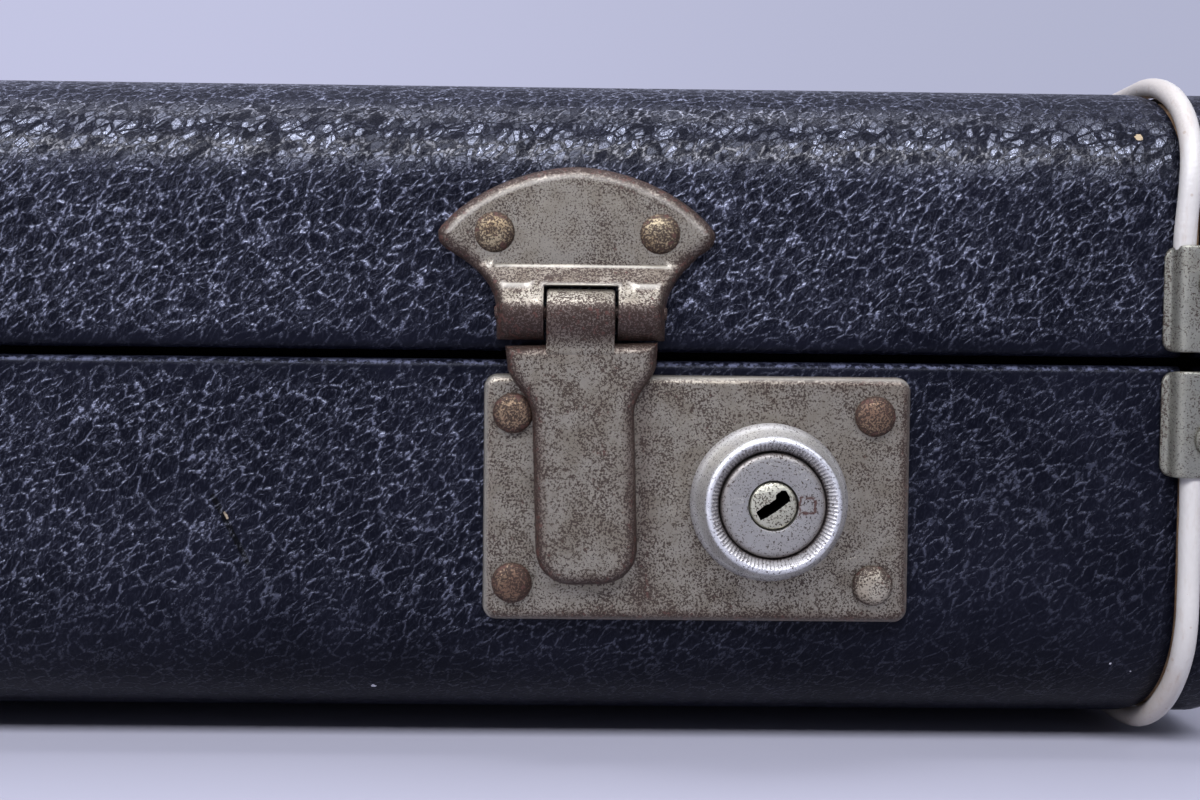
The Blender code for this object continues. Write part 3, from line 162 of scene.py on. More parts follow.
@dataclass(frozen=True)
class Signal:
    """Output of a node; arithmetic on it adds nodes to the same tree."""

    wiring: Wiring
    socket: bpy.types.NodeSocket
    wide: bool = False

    def combined(self, operation: str, other: Feed) -> "Signal":
        """Combine two numbers, or two vectors into a vector."""
        kind = "ShaderNodeVectorMath" if self.wide else "ShaderNodeMath"
        return self.wiring.signal(kind, {0: self, 1: other}, wide=self.wide, operation=operation)

    def __add__(self, other: Feed) -> "Signal":
        """Sum."""
        return self.combined("ADD", other)

    def __sub__(self, other: Feed) -> "Signal":
        """Difference."""
        return self.combined("SUBTRACT", other)

    def __mul__(self, other: Feed) -> "Signal":
        """Product with a number."""
        if not self.wide:
            return self.combined("MULTIPLY", other)
        inputs = {0: self, "Scale": other}
        return self.wiring.signal("ShaderNodeVectorMath", inputs, wide=True, operation="SCALE")

    def __truediv__(self, other: Feed) -> "Signal":
        """Quotient of two numbers."""
        return self.combined("DIVIDE", other)

    def __abs__(self) -> "Signal":
        """Size without its sign."""
        return self.combined("ABSOLUTE", (0.0, 0.0, 0.0) if self.wide else 0.0)

    def most(self, other: Feed) -> "Signal":
        """Larger of two numbers."""
        return self.combined("MAXIMUM", other)

    def held(self) -> "Signal":
        """The same number, held between 0 and 1."""
        self.socket.node.use_clamp = True
        return self

    def dot(self, other: Feed) -> "Signal":
        """Dot product of two vectors."""
        inputs = {0: self, 1: other}
        return self.wiring.signal("ShaderNodeVectorMath", inputs, "Value", operation="DOT_PRODUCT")

    def length(self) -> "Signal":
        """Length of a vector."""
        return self.wiring.signal("ShaderNodeVectorMath", {0: self}, "Value", operation="LENGTH")

    def part(self, axis: str) -> "Signal":
        """One part of a vector."""
        return self.wiring.signal("ShaderNodeSeparateXYZ", {0: self}, axis)

    def remap(self, low: float, high: float, out_low: float = 0.0, out_high: float = 1.0,
              kind: str = "SMOOTHSTEP") -> "Signal":
        """Spread a range of values over another range, clamped."""
        inputs = {0: self, 1: low, 2: high, 3: out_low, 4: out_high}
        return self.wiring.signal("ShaderNodeMapRange", inputs, interpolation_type=kind, clamp=True)

    def turned(self, degrees: float, size: tuple[float, float, float]) -> "Signal":
        """Place in a pattern whose cells have a size and rise to the right on the front."""
        inputs = {"Vector": self, "Rotation": (0.0, -math.radians(degrees), 0.0), "Scale": size}
        return self.wiring.signal("ShaderNodeMapping", inputs, wide=True, vector_type="TEXTURE")

    def noise(self, scale: float, detail: float = 2.0, rough: float = 0.5) -> "Signal":
        """Smooth noise from 0 to 1."""
        inputs = {"Vector": self, "Scale": scale, "Detail": detail, "Roughness": rough}
        return self.wiring.signal("ShaderNodeTexNoise", inputs)

    def waver(self, scale: float, detail: float) -> "Signal":
        """Three noises as one vector, centred on zero."""
        inputs = {"Vector": self, "Scale": scale, "Detail": detail}
        return self.wiring.signal("ShaderNodeTexNoise", inputs, 1, wide=True) - (0.5, 0.5, 0.5)

    def cells(self, scale: float = 1.0) -> "Signal":
        """Distance to the nearest border in a field of irregular cells."""
        inputs = {"Vector": self, "Scale": scale}
        return self.wiring.signal("ShaderNodeTexVoronoi", inputs, feature="DISTANCE_TO_EDGE")

    def cell_tone(self, scale: float = 1.0) -> "Signal":
        """One number from 0 to 1 for each irregular cell."""
        inputs = {"Vector": self, "Scale": scale}
        colour = self.wiring.signal("ShaderNodeTexVoronoi", inputs, "Color")
        return self.wiring.signal("ShaderNodeSeparateColor", {0: colour})

    def dots(self, scale: float, size: float) -> "Signal":
        """Mask of small round spots of unequal size."""
        inputs = {"Vector": self, "Scale": scale}
        away = self.wiring.signal("ShaderNodeTexVoronoi", inputs, "Distance")
        return away.combined("LESS_THAN", self.cell_tone(scale) * size)

    def attribute(self, name: str) -> "Signal":
        """A number stored on the mesh."""
        return self.wiring.signal("ShaderNodeAttribute", {}, "Fac", attribute_name=name)

    def bump(self, depth: float) -> "Signal":
        """Normal of a relief of a depth in metres."""
        inputs = {"Height": self, "Strength": 1.0, "Distance": depth}
        return self.wiring.signal("ShaderNodeBump", inputs)


def opaque(colour: Feed) -> Feed:
    """A plain colour with its fourth number; a signal is left as it is."""
    return (*colour, 1.0) if isinstance(colour, tuple) else colour


def mix(factor: Signal, first: Feed, second: Feed) -> Signal:
    """Blend two colours."""
    inputs = {0: factor, 6: opaque(first), 7: opaque(second)}
    return factor.wiring.signal("ShaderNodeMix", inputs, 2, data_type="RGBA", clamp_factor=True)


def mix_values(factor: Signal, first: Feed, second: Feed) -> Signal:
    """Blend two numbers."""
    inputs = {0: factor, 2: first, 3: second}
    return factor.wiring.signal("ShaderNodeMix", inputs, data_type="FLOAT")


@dataclass(frozen=True)
class Socket:
    """One input or output of a shader effect."""

    name: str
    kind: str = "NodeSocketFloat"
    default: object = None


VECTOR = "NodeSocketVector"
PLACE = Socket("Place", VECTOR)
Outlets = dict[str, Signal]


class Effect:
    """A shader effect kept as one node group, placed in each material that shows it."""

    title: ClassVar[str] = ""
    inputs: ClassVar[tuple[Socket, ...]] = ()
    outputs: ClassVar[tuple[Socket, ...]] = ()

    @classmethod
    def wire(cls, given: Outlets) -> Outlets:
        """Build the inside of the group and return what feeds each output.

        Args:
            given: the group's inputs by name.

        Returns:
            What feeds each output, by name.
        """
        raise NotImplementedError

    @classmethod
    def group(cls) -> bpy.types.NodeTree:
        """Build the group once, and return it."""
        found = bpy.data.node_groups.get(cls.title)
        if found:
            return found
        tree = bpy.data.node_groups.new(cls.title, "ShaderNodeTree")
        for direction, sockets in (("INPUT", cls.inputs), ("OUTPUT", cls.outputs)):
            for socket in sockets:
                made = tree.interface.new_socket(name=socket.name, in_out=direction,
                                                 socket_type=socket.kind)
                if socket.default is not None:
                    made.default_value = socket.default
        source = tree.nodes.new("NodeGroupInput")
        sink = tree.nodes.new("NodeGroupOutput")
        wiring = Wiring(tree)
        given = {socket.name: Signal(wiring, source.outputs[socket.name], socket.kind == VECTOR)
                 for socket in cls.inputs}
        for name, value in cls.wire(given).items():
            wiring.feed(sink.inputs[name], value)
        return tree

    @classmethod
    def place(cls, **inputs: Feed) -> Outlets:
        """Put the effect into the material that its place comes from.

        Args:
            inputs: values or signals by input name.

        Returns:
            The group node's outputs by name.
        """
        wiring = inputs["Place"].wiring
        item = wiring.tree.nodes.new("ShaderNodeGroup")
        item.node_tree = cls.group()
        for name, value in inputs.items():
            wiring.feed(item.inputs[name], value)
        return {socket.name: Signal(wiring, item.outputs[socket.name]) for socket in cls.outputs}


class PebbleGrain(Effect):
    """Raised net of creases round the pads of leathercloth, rising to the right, in millimetres."""

    title = "pebble grain"
    inputs = (PLACE,)
    outputs = (Socket("Height"), Socket("Ridge"), Socket("Pads"))

    @classmethod
    def wire(cls, given: Outlets) -> Outlets:
        """Two nets of cell edges and long strands, broken up by a fine skin."""
        place = given["Place"]
        moved = place + place.waver(0.16, 1.0) * 2.0 + place.waver(0.9, 2.0) * 0.6
        large = moved.turned(38, (3.8, 1.8, 1.7))
        net = large.cells().remap(0.0, 0.14, 1.0, 0.0)
        fine = moved.turned(60, (2.0, 1.5, 1.3))
        small = fine.cells().remap(0.0, 0.13, 1.0, 0.0)
        shown = place.noise(0.30).remap(0.45, 0.65, 0.0, 0.35)
        strands = moved.turned(33, (6.0, 3.0, 1.8)).noise(1.0, 1.0)
        strands = abs(strands - 0.5).remap(0.0, 0.024, 0.45, 0.0)
        unbroken = net.most(small * shown).most(strands)
        skin = place.turned(55, (0.80, 0.42, 0.42)).noise(1.0, 2.0, 0.6)
        faded = place.noise(0.28).remap(0.36, 0.62, 0.60, 1.0)
        broken = skin.remap(0.43, 0.60, 0.12, 1.0) * faded
        fibres = place.turned(76, (1.0, 0.30, 0.30)).noise(1.0, 2.0, 0.6)
        ridge = (unbroken * broken).most(fibres.remap(0.48, 0.70) * 0.14)
        tone = large.cell_tone() + fine.cell_tone()
        pads = tone.remap(0.55, 1.35) * net.remap(0.15, 0.55, 1.0, 0.0)
        pads = pads * small.remap(0.25, 0.75, 1.0, 0.25)
        return {"Height": ridge * 0.62 + skin * 0.30, "Ridge": ridge, "Pads": pads}


class Tarnish(Effect):
    """Clouds, fine brown freckles and rust on plated metal, denser where Edge is high."""

    title = "tarnish"
    inputs = (PLACE, Socket("Edge"), Socket("Amount", default=1.0))
    outputs = (Socket("Cloud"), Socket("Freckles"), Socket("Rust"), Socket("Grit"))

    @classmethod
    def wire(cls, given: Outlets) -> Outlets:
        """Freckles gather in clouds and along edges."""
        place = given["Place"]
        patch = (place + (31.0, 7.0, 53.0)).noise(0.22, 4.0, 0.7)
        near = (patch + given["Edge"] * 0.26) * given["Amount"]
        grit = place.noise(3.0, 2.0, 0.85)
        dense = near.remap(0.34, 0.74, 0.585, 0.42, "LINEAR")
        coarse = (place + (9.0, 90.0, 2.0)).noise(1.15, 3.0, 0.62)
        rusted = coarse - near.remap(0.42, 0.92, 0.72, 0.50, "LINEAR")
        return {"Cloud": place.noise(0.20, 2.0, 0.6), "Freckles": (grit - dense).remap(0.0, 0.035),
                "Rust": rusted.remap(0.0, 0.06), "Grit": grit}


class Scratches(Effect):
    """Fine crossing scratches."""

    title = "scratches"
    inputs = (PLACE,)
    outputs = (Socket("Mask"),)

    @classmethod
    def wire(cls, given: Outlets) -> Outlets:
        """Two sheets of thin streaks at unlike angles, broken up by clouds."""
        sheets = []
        for degrees, shift in ((18, 3.0), (-52, 71.0)):
            place = given["Place"] + (shift, shift, 0.0)
            line = place.turned(degrees, (10.0, 1.0, 0.32)).noise(1.0)
            line = abs(line - 0.5).remap(0.0, 0.010, 1.0, 0.0)
            sheets.append(line * place.noise(0.3).remap(0.48, 0.62))
        return {"Mask": sheets[0].most(sheets[1])}


class Spot(Effect):
    """Ragged spot round a point or a short line, in millimetres."""

    title = "worn spot"
    inputs = (PLACE, Socket("Centre", VECTOR), Socket("Along", VECTOR), Socket("Radius", default=1.0))
    outputs = (Socket("Mask"),)

    @classmethod
    def wire(cls, given: Outlets) -> Outlets:
        """Distance from the line, roughened by noise."""
        place, along = given["Place"], given["Along"]
        reached = place - given["Centre"]
        share = (reached.dot(along) / (along.dot(along) + 0.001)).held()
        away = (reached - along * share).length()
        reach = given["Radius"] * (place.noise(2.2, 3.0, 0.7) * 1.3 + 0.25)
        return {"Mask": (reach - away).remap(0.0, 0.12)}


class TabMark(Effect):
    """Rusty outline of a small square tab on a front face, in millimetres."""

    title = "tab mark"
    inputs = (PLACE, Socket("Centre", VECTOR), Socket("Half", default=1.0))
    outputs = (Socket("Mask"),)

    @classmethod
    def wire(cls, given: Outlets) -> Outlets:
        """Wavering square line, broken up by noise."""
        place = given["Place"]
        apart = abs(place + place.waver(0.9, 3.0) * 0.9 - given["Centre"])
        line = abs(apart.part("X").most(apart.part("Z")) - given["Half"])
        broken = place.noise(1.6).remap(0.34, 0.50)
        return {"Mask": line.remap(0.10, 0.30, 1.0, 0.0) * broken}


class Pile(Effect):
    """Short brushed pile, in millimetres."""

    title = "pile"
    inputs = (PLACE,)
    outputs = (Socket("Height"), Socket("Shade"))

    @classmethod
    def wire(cls, given: Outlets) -> Outlets:
        """Tiny tufts over wide brushed patches."""
        tufts = given["Place"].noise(1.7, 4.0, 0.75)
        brushed = given["Place"].noise(0.035, 3.0, 0.55)
        return {"Height": tufts, "Shade": brushed * 0.7 + tufts * 0.5}


class Soil(Effect):
    """Brown soiling of a pale bead: streaks along it and small dots, in millimetres."""

    title = "soil"
    inputs = (PLACE,)
    outputs = (Socket("Streaks"), Socket("Dots"))

    @classmethod
    def wire(cls, given: Outlets) -> Outlets:
        """Soft streaks where a wide noise allows them."""
        streaks = given["Place"].turned(0, (0.7, 2.0, 3.6)).noise(1.0, 4.0, 0.7)
        return {"Streaks": streaks.remap(0.50, 0.78), "Dots": given["Place"].dots(0.55, 0.16)}


# Finishes


@dataclass(frozen=True)
class Finish:
    """A surface finish, made into one material the first time that it is asked for."""

    name: str
    slot: Slot

    def wire(self, place: Signal) -> Feeds:
        """Work out what feeds the shader's sockets.

        Args:
            place: place on the piece at rest, in millimetres.

        Returns:
            Values and signals by the name of the shader's socket.
        """
        raise NotImplementedError

    def material(self) -> bpy.types.Material:
        """The finish as a material."""
        found = bpy.data.materials.get(self.name)
        if found:
            return found
        material = bpy.data.materials.new(self.name)
        material.use_nodes = True
        tree = material.node_tree
        wiring = Wiring(tree)
        place = wiring.signal("ShaderNodeTexCoord", {}, "Object", wide=True) * PER_MM
        for name, value in self.wire(place).items():
            wiring.feed(tree.nodes["Principled BSDF"].inputs[name], value)
        return material


@dataclass(frozen=True)
class Mark:
    """A worn place or a scratch on the covering, in millimetres."""

    place: Colour
    radius: float
    colour: Colour
    along: Colour = (0.0, 0.0, 0.0)


@dataclass(frozen=True)
class Leathercloth(Finish):
    """Pebbled navy covering with painted highlights on its ridges and along the body's rim edge, and
    bare where it is torn.
    """

    base: Colour = (0.0020, 0.0023, 0.0052)
    rubbed: Colour = (0.0042, 0.0046, 0.0090)
    # Pale ridge colour: painted highlight along the grain's ridges.
    ridge: Colour = (0.150, 0.162, 0.245)
    backing: Colour = (0.52, 0.43, 0.30)
    glint: Colour = (0.80, 0.85, 1.0)
    glaze: float = 1.0
    glaze_rough: float = 0.2
    rough: float = 0.34
    shine: Point2 = (0.08, 3.4)
    matt: float = 0.06
    polished: float = 2.2
    depth: float = 1.0 * MM
    marks: tuple[Mark, ...] = ()

    def wire(self, place: Signal) -> Feeds:
        """Grain with rubbed patches, painted highlights on the ridges and the rim edge, marks and bare
        places.
        """
        grain = PebbleGrain.place(Place=place)
        polish, relief = place.attribute("polish"), place.attribute("relief")
        raised = (grain["Ridge"] * relief).held()
        colour = mix(place.noise(0.05).remap(0.35, 0.7), self.base, self.rubbed)
        # Painted highlight: the grain's ridges are painted pale, less so where the cloth is polished.
        colour = mix(raised * polish.remap(0.0, 1.0, 0.80, 0.30), colour, self.ridge)
        # Painted highlight along the body's upper rim edge, in the ridge colour, broken up by noise.
        rim = place.attribute("rub") * place.noise(0.8, 3.0, 0.7).remap(0.47, 0.62, 0.0, 0.75)
        colour = mix(rim, colour, self.ridge)
        for mark in self.marks:
            spot = Spot.place(Place=place, Centre=mark.place, Along=mark.along, Radius=mark.radius)
            colour = mix(spot["Mask"], colour, mark.colour)
        bare = (place.attribute("worn") + place.noise(0.55, 3.0, 0.7) * 0.7).remap(0.98, 1.02)
        plateau = polish * grain["Pads"]
        gloss = mix_values(polish, raised.remap(0.0, 1.0, *self.shine), self.matt)
        rough = place.noise(0.4).remap(0.3, 0.75, self.rough - 0.05, self.rough + 0.08)
        return {"Base Color": mix(bare, colour, self.backing),
                "Roughness": rough + bare * 0.4 - plateau * 0.08,
                "Specular IOR Level": gloss + plateau * self.polished,
                "Specular Tint": (*self.glint, 1),
                "Coat Weight": raised * self.glaze,
                "Coat Roughness": self.glaze_rough,
                "Normal": ((grain["Height"] + plateau * 0.5) * relief).bump(self.depth)}


@dataclass(frozen=True)
class PlatedMetal(Finish):
    """Plated steel with tarnish; Edge on the mesh gathers it at the rims, and on some pieces also
    paints shade.
    """

    clean: Colour = (0.305, 0.280, 0.222)
    dull: Colour = (0.215, 0.190, 0.145)
    rim: Colour = (0.078, 0.048, 0.042)
    freckle: Colour = (0.030, 0.015, 0.009)
    rust: Colour = (0.085, 0.034, 0.024)
    # Colour of the painted highlights along rims and folds.
    bright: Colour = (0.62, 0.59, 0.50)
    amount: float = 1.0
    tab: Colour | None = None
    rough: float = 0.40
    rim_share: float = 0.86
    grit: float = 0.05 * MM

    def wire(self, place: Signal) -> Feeds:
        """Clouded plate under freckles, rust, darkened rims and painted highlights."""
        edge = place.attribute("edge")
        tarnish = Tarnish.place(Place=place, Edge=edge, Amount=self.amount)
        colour = mix(tarnish["Cloud"].remap(0.34, 0.72), self.clean, self.dull)
        # Edge darkens towards the rim colour: tarnish, and painted shade where a piece marks it.
        colour = mix(edge * self.rim_share, colour, self.rim)
        colour = mix(tarnish["Freckles"] * 0.92, colour, self.freckle)
        colour = mix(tarnish["Rust"] * 0.85, colour, self.rust)
        # Painted highlight, where the mesh marks it.
        colour = mix(place.attribute("bright") * 0.75, colour, self.bright)
        if self.tab:
            across, up, half = self.tab
            outline = TabMark.place(Place=place, Centre=(across, 0.0, up), Half=half)
            colour = mix(outline["Mask"] * 0.85, colour, self.rust)
        dirt = (tarnish["Freckles"] * 0.6).most(tarnish["Rust"]).most(edge * 0.55)
        rough = tarnish["Cloud"].remap(0.3, 0.7, self.rough - 0.05, self.rough + 0.08)
        scratched = Scratches.place(Place=place)["Mask"]
        return {"Base Color": colour,
                "Metallic": dirt.remap(0.0, 1.0, 0.93, 0.30),
                "Roughness": rough + dirt * 0.22,
                "Normal": (tarnish["Grit"] - dirt * 0.5 - scratched * 0.4).bump(self.grit)}


@dataclass(frozen=True)
class PipingVinyl(Finish):
    """Off-white vinyl bead, soiled along its sides."""

    base: Colour = (0.54, 0.52, 0.485)
    soil: Colour = (0.36, 0.27, 0.20)
    depth: float = 0.08 * MM

    def wire(self, place: Signal) -> Feeds:
        """Pale vinyl with streaks and dots."""
        soil = Soil.place(Place=place)
        amount = soil["Streaks"] * 0.34 + place.attribute("edge") * 0.55
        colour = mix(amount, self.base, self.soil)
        return {"Base Color": mix(soil["Dots"] * 0.5, colour, self.soil),
                "Roughness": soil["Streaks"].remap(0.0, 1.0, 0.38, 0.6),
                "Normal": place.noise(1.4, 3.0, 0.6).bump(self.depth)}


@dataclass(frozen=True)
class Plush(Finish):
    """Short pile lining."""

    dark: Colour = (0.055, 0.006, 0.010)
    light: Colour = (0.19, 0.026, 0.034)
    sheen: float = 0.35
    depth: float = 0.6 * MM

    def wire(self, place: Signal) -> Feeds:
        """Brushed patches over tufts, with a soft sheen."""
        pile = Pile.place(Place=place)
        return {"Base Color": mix(pile["Shade"].remap(0.35, 0.85), self.dark, self.light),
                "Roughness": 0.95, "Sheen Weight": self.sheen, "Sheen Roughness": 0.45,
                "Normal": pile["Height"].bump(self.depth)}


@dataclass(frozen=True)
class BareWood(Finish):
    """Unfinished softwood and plywood."""

    pale: Colour = (0.56, 0.38, 0.22)
    dark: Colour = (0.33, 0.19, 0.10)
    depth: float = 0.1 * MM

    def wire(self, place: Signal) -> Feeds:
        """Long grain along the case."""
        grain = place.turned(0, (90.0, 2.2, 2.2)).noise(1.0, 5.0, 0.65)
        pores = place.turned(0, (16.0, 0.4, 0.4)).noise(1.0)
        colour = mix(grain.remap(0.32, 0.7), self.pale, self.dark)
        return {"Base Color": mix(pores.remap(0.56, 0.7, 0.0, 0.4), colour, self.dark),
                "Roughness": pores.remap(0.3, 0.7, 0.52, 0.72),
                "Normal": pores.bump(self.depth)}


@dataclass(frozen=True)
class MouldedGrip(Finish):
    """Black moulded grip with a light grain."""

    base: Colour = (0.014, 0.014, 0.017)
    rubbed: Colour = (0.045, 0.043, 0.044)
    shine: float = 0.5
    depth: float = 0.12 * MM

    def wire(self, place: Signal) -> Feeds:
        """Fine grain, rubbed paler in patches."""
        rub = place.noise(0.12, 3.0).remap(0.45, 0.75)
        return {"Base Color": mix(rub, self.base, self.rubbed),
                "Roughness": rub.remap(0.0, 1.0, 0.46, 0.32),
                "Specular IOR Level": self.shine,
                "Normal": place.cells(1.1).remap(0.0, 0.22).bump(self.depth)}


# Mesh building


def held(value: float, low: float = 0.0, high: float = 1.0) -> float:
    """Number kept between two limits."""
    return max(low, min(high, value))


def fading(away: float, reach: float) -> float:
    """Share that falls from one to zero over a reach."""
    return max(0.0, 1.0 - away / reach)


def eased(share: float) -> float:
    """Share from 0 to 1 with soft ends."""
    return share * share * (3 - 2 * share)


def uneven(x: float, y: float, z: float) -> float:
    """Smooth unevenness between about -1 and 1 at a place."""
    return noise.noise(Vector((x, y, z)))


def frange(low: float, high: float, step: float) -> list[float]:
    """Evenly spaced numbers from low to high."""
    count = max(1, round((high - low) / step))
    return [low + (high - low) * index / count for index in range(count + 1)]


def placed(name: str, data: bpy.types.ID) -> Item:
    """New object in the scene."""
    item = bpy.data.objects.new(name, data)
    bpy.context.scene.collection.objects.link(item)
    return item


def finish_mesh(name: str, data: bmesh.types.BMesh) -> Item:
    """Turn a bmesh into a smooth-shaded object with faces pointing out.

    Args:
        name: the piece's name.
        data: the finished geometry, which is freed.

    Returns:
        The new object, linked to the scene.
    """
    bmesh.ops.recalc_face_normals(data, faces=data.faces)
    mesh = bpy.data.meshes.new(name)
    data.to_mesh(mesh)
    data.free()
    mesh.shade_smooth()
    mesh.set_sharp_from_angle(angle=SMOOTH_ANGLE)
    return placed(name, mesh)


def loft(name: str, rings: Sequence[Sequence[Vector]], ringed: bool = False) -> Item:
    """Join closed rings of equal length.

    Args:
        name: the piece's name.
        rings: rings in order.
        ringed: whether the last ring joins the first; the ends are closed if not.

    Returns:
        The new object.
    """
    data = bmesh.new()
    loops = [[data.verts.new(point) for point in ring] for ring in rings]
    pairs = list(zip(loops, loops[1:]))
    if ringed:
        pairs.append((loops[-1], loops[0]))
    for near, far in pairs:
        for index in range(len(near)):
            after = (index + 1) % len(near)
            data.faces.new((near[index], near[after], far[after], far[index]))
    if not ringed:
        data.faces.new(loops[0])
        data.faces.new(loops[-1])
    return finish_mesh(name, data)


def turned(name: str, profile: Sequence[Point2], centre: Sequence[float], axis: Sequence[float],
           sides: int, wave: Callable[[int, float], float] | None = None) -> Item:
    """Turn a profile of (radius, height) points about an axis.

    Args:
        name: the piece's name.
        profile: points from axis to axis, or a closed section away from the axis.
        centre: point where the height is zero.
        axis: direction of the height.
        sides: points round each ring.
        wave: height added at a profile index and an angle.

    Returns:
        The new object.
    """
    rotation = Vector((0, 0, 1)).rotation_difference(Vector(axis)).to_matrix().to_4x4()
    place = Matrix.Translation(Vector(centre)) @ rotation
    turns = [2 * math.pi * side / sides for side in range(sides)]
    data = bmesh.new()
    rings = []
    for number, (radius, height) in enumerate(profile):
        if radius == 0:
            rings.append([data.verts.new(place @ Vector((0, 0, height)))])
            continue
        ring = []
        for turn in turns:
            lift = wave(number, turn) if wave else 0.0
            point = Vector((radius * math.cos(turn), radius * math.sin(turn), height + lift))
            ring.append(data.verts.new(place @ point))
        rings.append(ring)
    pairs = list(zip(rings, rings[1:]))
    if len(rings[0]) > 1:
        pairs.append((rings[-1], rings[0]))
    for near, far in pairs:
        for side in range(sides):
            after = (side + 1) % sides
            corners = [near[side % len(near)], near[after % len(near)],
                       far[after % len(far)], far[side % len(far)]]
            data.faces.new(list(dict.fromkeys(corners)))
    return finish_mesh(name, data)


def shell_of_grids(name: str, fronts: list[list[Vector]], backs: list[list[Vector]]) -> Item:
    """Close two grids of points, laid out alike, into one shell.

    Args:
        name: the piece's name.
        fronts: columns of the front.
        backs: columns of the back.

    Returns:
        The new object.
    """
    data = bmesh.new()
    near, far = ([[data.verts.new(point) for point in column] for column in grid]
                 for grid in (fronts, backs))
    for grid, turned_round in ((near, False), (far, True)):
        for first, second in zip(grid, grid[1:]):
            for corners in zip(first, first[1:], second[1:], second):
                data.faces.new(corners[::-1] if turned_round else corners)
    end, last = len(fronts) - 1, len(fronts[0]) - 1
    rim = [(0, row) for row in range(last)] + [(column, last) for column in range(end)]
    rim += [(end, row) for row in range(last, 0, -1)] + [(column, 0) for column in range(end, 0, -1)]
    for (column, row), (next_column, next_row) in zip(rim, rim[1:] + rim[:1]):
        data.faces.new((near[next_column][next_row], near[column][row],
                        far[column][row], far[next_column][next_row]))
    return finish_mesh(name, data)


def mark_values(item: Item, **fields: Callable[[Vector], float]) -> None:
    """Store numbers at each vertex, worked out from its place, each under its own name."""
    for name, value in fields.items():
        layer = item.data.attributes.get(name) or item.data.attributes.new(name, "FLOAT", "POINT")
        layer.data.foreach_set("value", [float(value(vertex.co)) for vertex in item.data.vertices])


def constant(value: float) -> Callable[[Vector], float]:
    """The same number at every place."""
    return lambda co: value


def joined(item: Item, *others: Item) -> Item:
    """Put the meshes of other objects into one object, each as its own closed shell.

    Args:
        item: object that is kept.
        others: objects that go into it and are removed.

    Returns:
        The kept object.
    """
    data = bmesh.new()
    data.from_mesh(item.data)
    for other in others:
        data.from_mesh(other.data)
        bpy.data.objects.remove(other, do_unlink=True)
    data.to_mesh(item.data)
    data.free()
    item.data.set_sharp_from_angle(angle=SMOOTH_ANGLE)
    return item


def keep_modified(item: Item) -> None:
    """Keep what the modifiers make and drop them."""
    evaluated = item.evaluated_get(bpy.context.evaluated_depsgraph_get())
    result = bpy.data.meshes.new_from_object(evaluated)
    item.modifiers.clear()
    item.data = result


def cut(item: Item, cutter: Item) -> None:
    """Take a cutter away from a piece.

    Args:
        item: the piece.
        cutter: closed object, which is removed.
    """
    modifier = item.modifiers.new("cut", "BOOLEAN")
    modifier.operation = "DIFFERENCE"
    modifier.solver = "EXACT"
    modifier.object = cutter
    keep_modified(item)
    bpy.data.objects.remove(cutter, do_unlink=True)
    item.data.set_sharp_from_angle(angle=SMOOTH_ANGLE)


def box_mesh(name: str, low: Sequence[float], high: Sequence[float]) -> Item:
    """Plain box used as a cutter or a hidden block."""
    corners = [(low[0], low[1]), (high[0], low[1]), (high[0], high[1]), (low[0], high[1])]
    return loft(name, [[Vector((x, y, z)) for x, y in corners] for z in (low[2], high[2])])


def dress(item: Item, finish: Finish, body: str, *nodes: str) -> None:
    """Finish a piece: material, body and the CAD nodes that it stands for.

    Args:
        item: the piece.
        finish: its surface.
        body: the CAD body that it moves with.
        nodes: CAD nodes that it replaces.
    """
    item.data.materials.clear()
    item.data.materials.append(finish.material())
    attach(item, body)
    if nodes:
        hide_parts(*nodes)
    LOG.info("%s on %s, %d faces", item.name, body, len(item.data.polygons))


def finish_cad(names: Sequence[str], finish: Finish) -> None:
    """Give CAD nodes that show their material."""
    for name in names:
        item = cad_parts[name]
        item.data.materials.clear()
        item.data.materials.append(finish.material())


# Outlines


def dense(points: Sequence[Point2], step: float) -> list[Point2]:
    """Add points to a closed outline so that none of its sides is longer than a step.

    Args:
        points: corners of the outline.
        step: greatest length of a side.

    Returns:
        Points of the same outline.
    """
    result = []
    for (ax, ay), (bx, by) in sides_of(points):
        pieces = max(1, math.ceil(math.dist((ax, ay), (bx, by)) / step))
        result += [(ax + (bx - ax) * (piece / pieces), ay + (by - ay) * (piece / pieces))
                   for piece in range(pieces)]
    return result


def sides_of(points: Sequence[Point2]) -> list[tuple[Point2, Point2]]:
    """Sides of a closed outline."""
    return list(zip(points, list(points[1:]) + [points[0]]))


def arc(centre: Point2, radius: float, start: float, end: float, steps: int) -> list[Point2]:
    """Points of an arc between two angles in degrees."""
    x, y = centre
    turns = [math.radians(start + (end - start) * step / steps) for step in range(steps + 1)]
    return [(x + radius * math.cos(turn), y + radius * math.sin(turn)) for turn in turns]


def rounded_box(half_width: float, half_height: float, radius: float, steps: int = 8) -> list[Point2]:
    """Rectangle about the origin with rounded corners, anticlockwise from top right."""
    points = []
    for quarter, (across, up) in enumerate(((1, 1), (-1, 1), (-1, -1), (1, -1))):
        centre = (across * (half_width - radius), up * (half_height - radius))
        points += arc(centre, radius, 90 * quarter, 90 * quarter + 90, steps)
    return points


def bezier(*points: Point2, steps: int) -> list[Point2]:
    """Points of a cubic curve over four points, without its end point."""
    result = []
    for step in range(steps):
        t = step / steps
        weights = ((1 - t) ** 3, 3 * t * (1 - t) ** 2, 3 * t * t * (1 - t), t ** 3)
        result.append(tuple(sum(weight * point[axis] for weight, point in zip(weights, points))
                            for axis in (0, 1)))
    return result


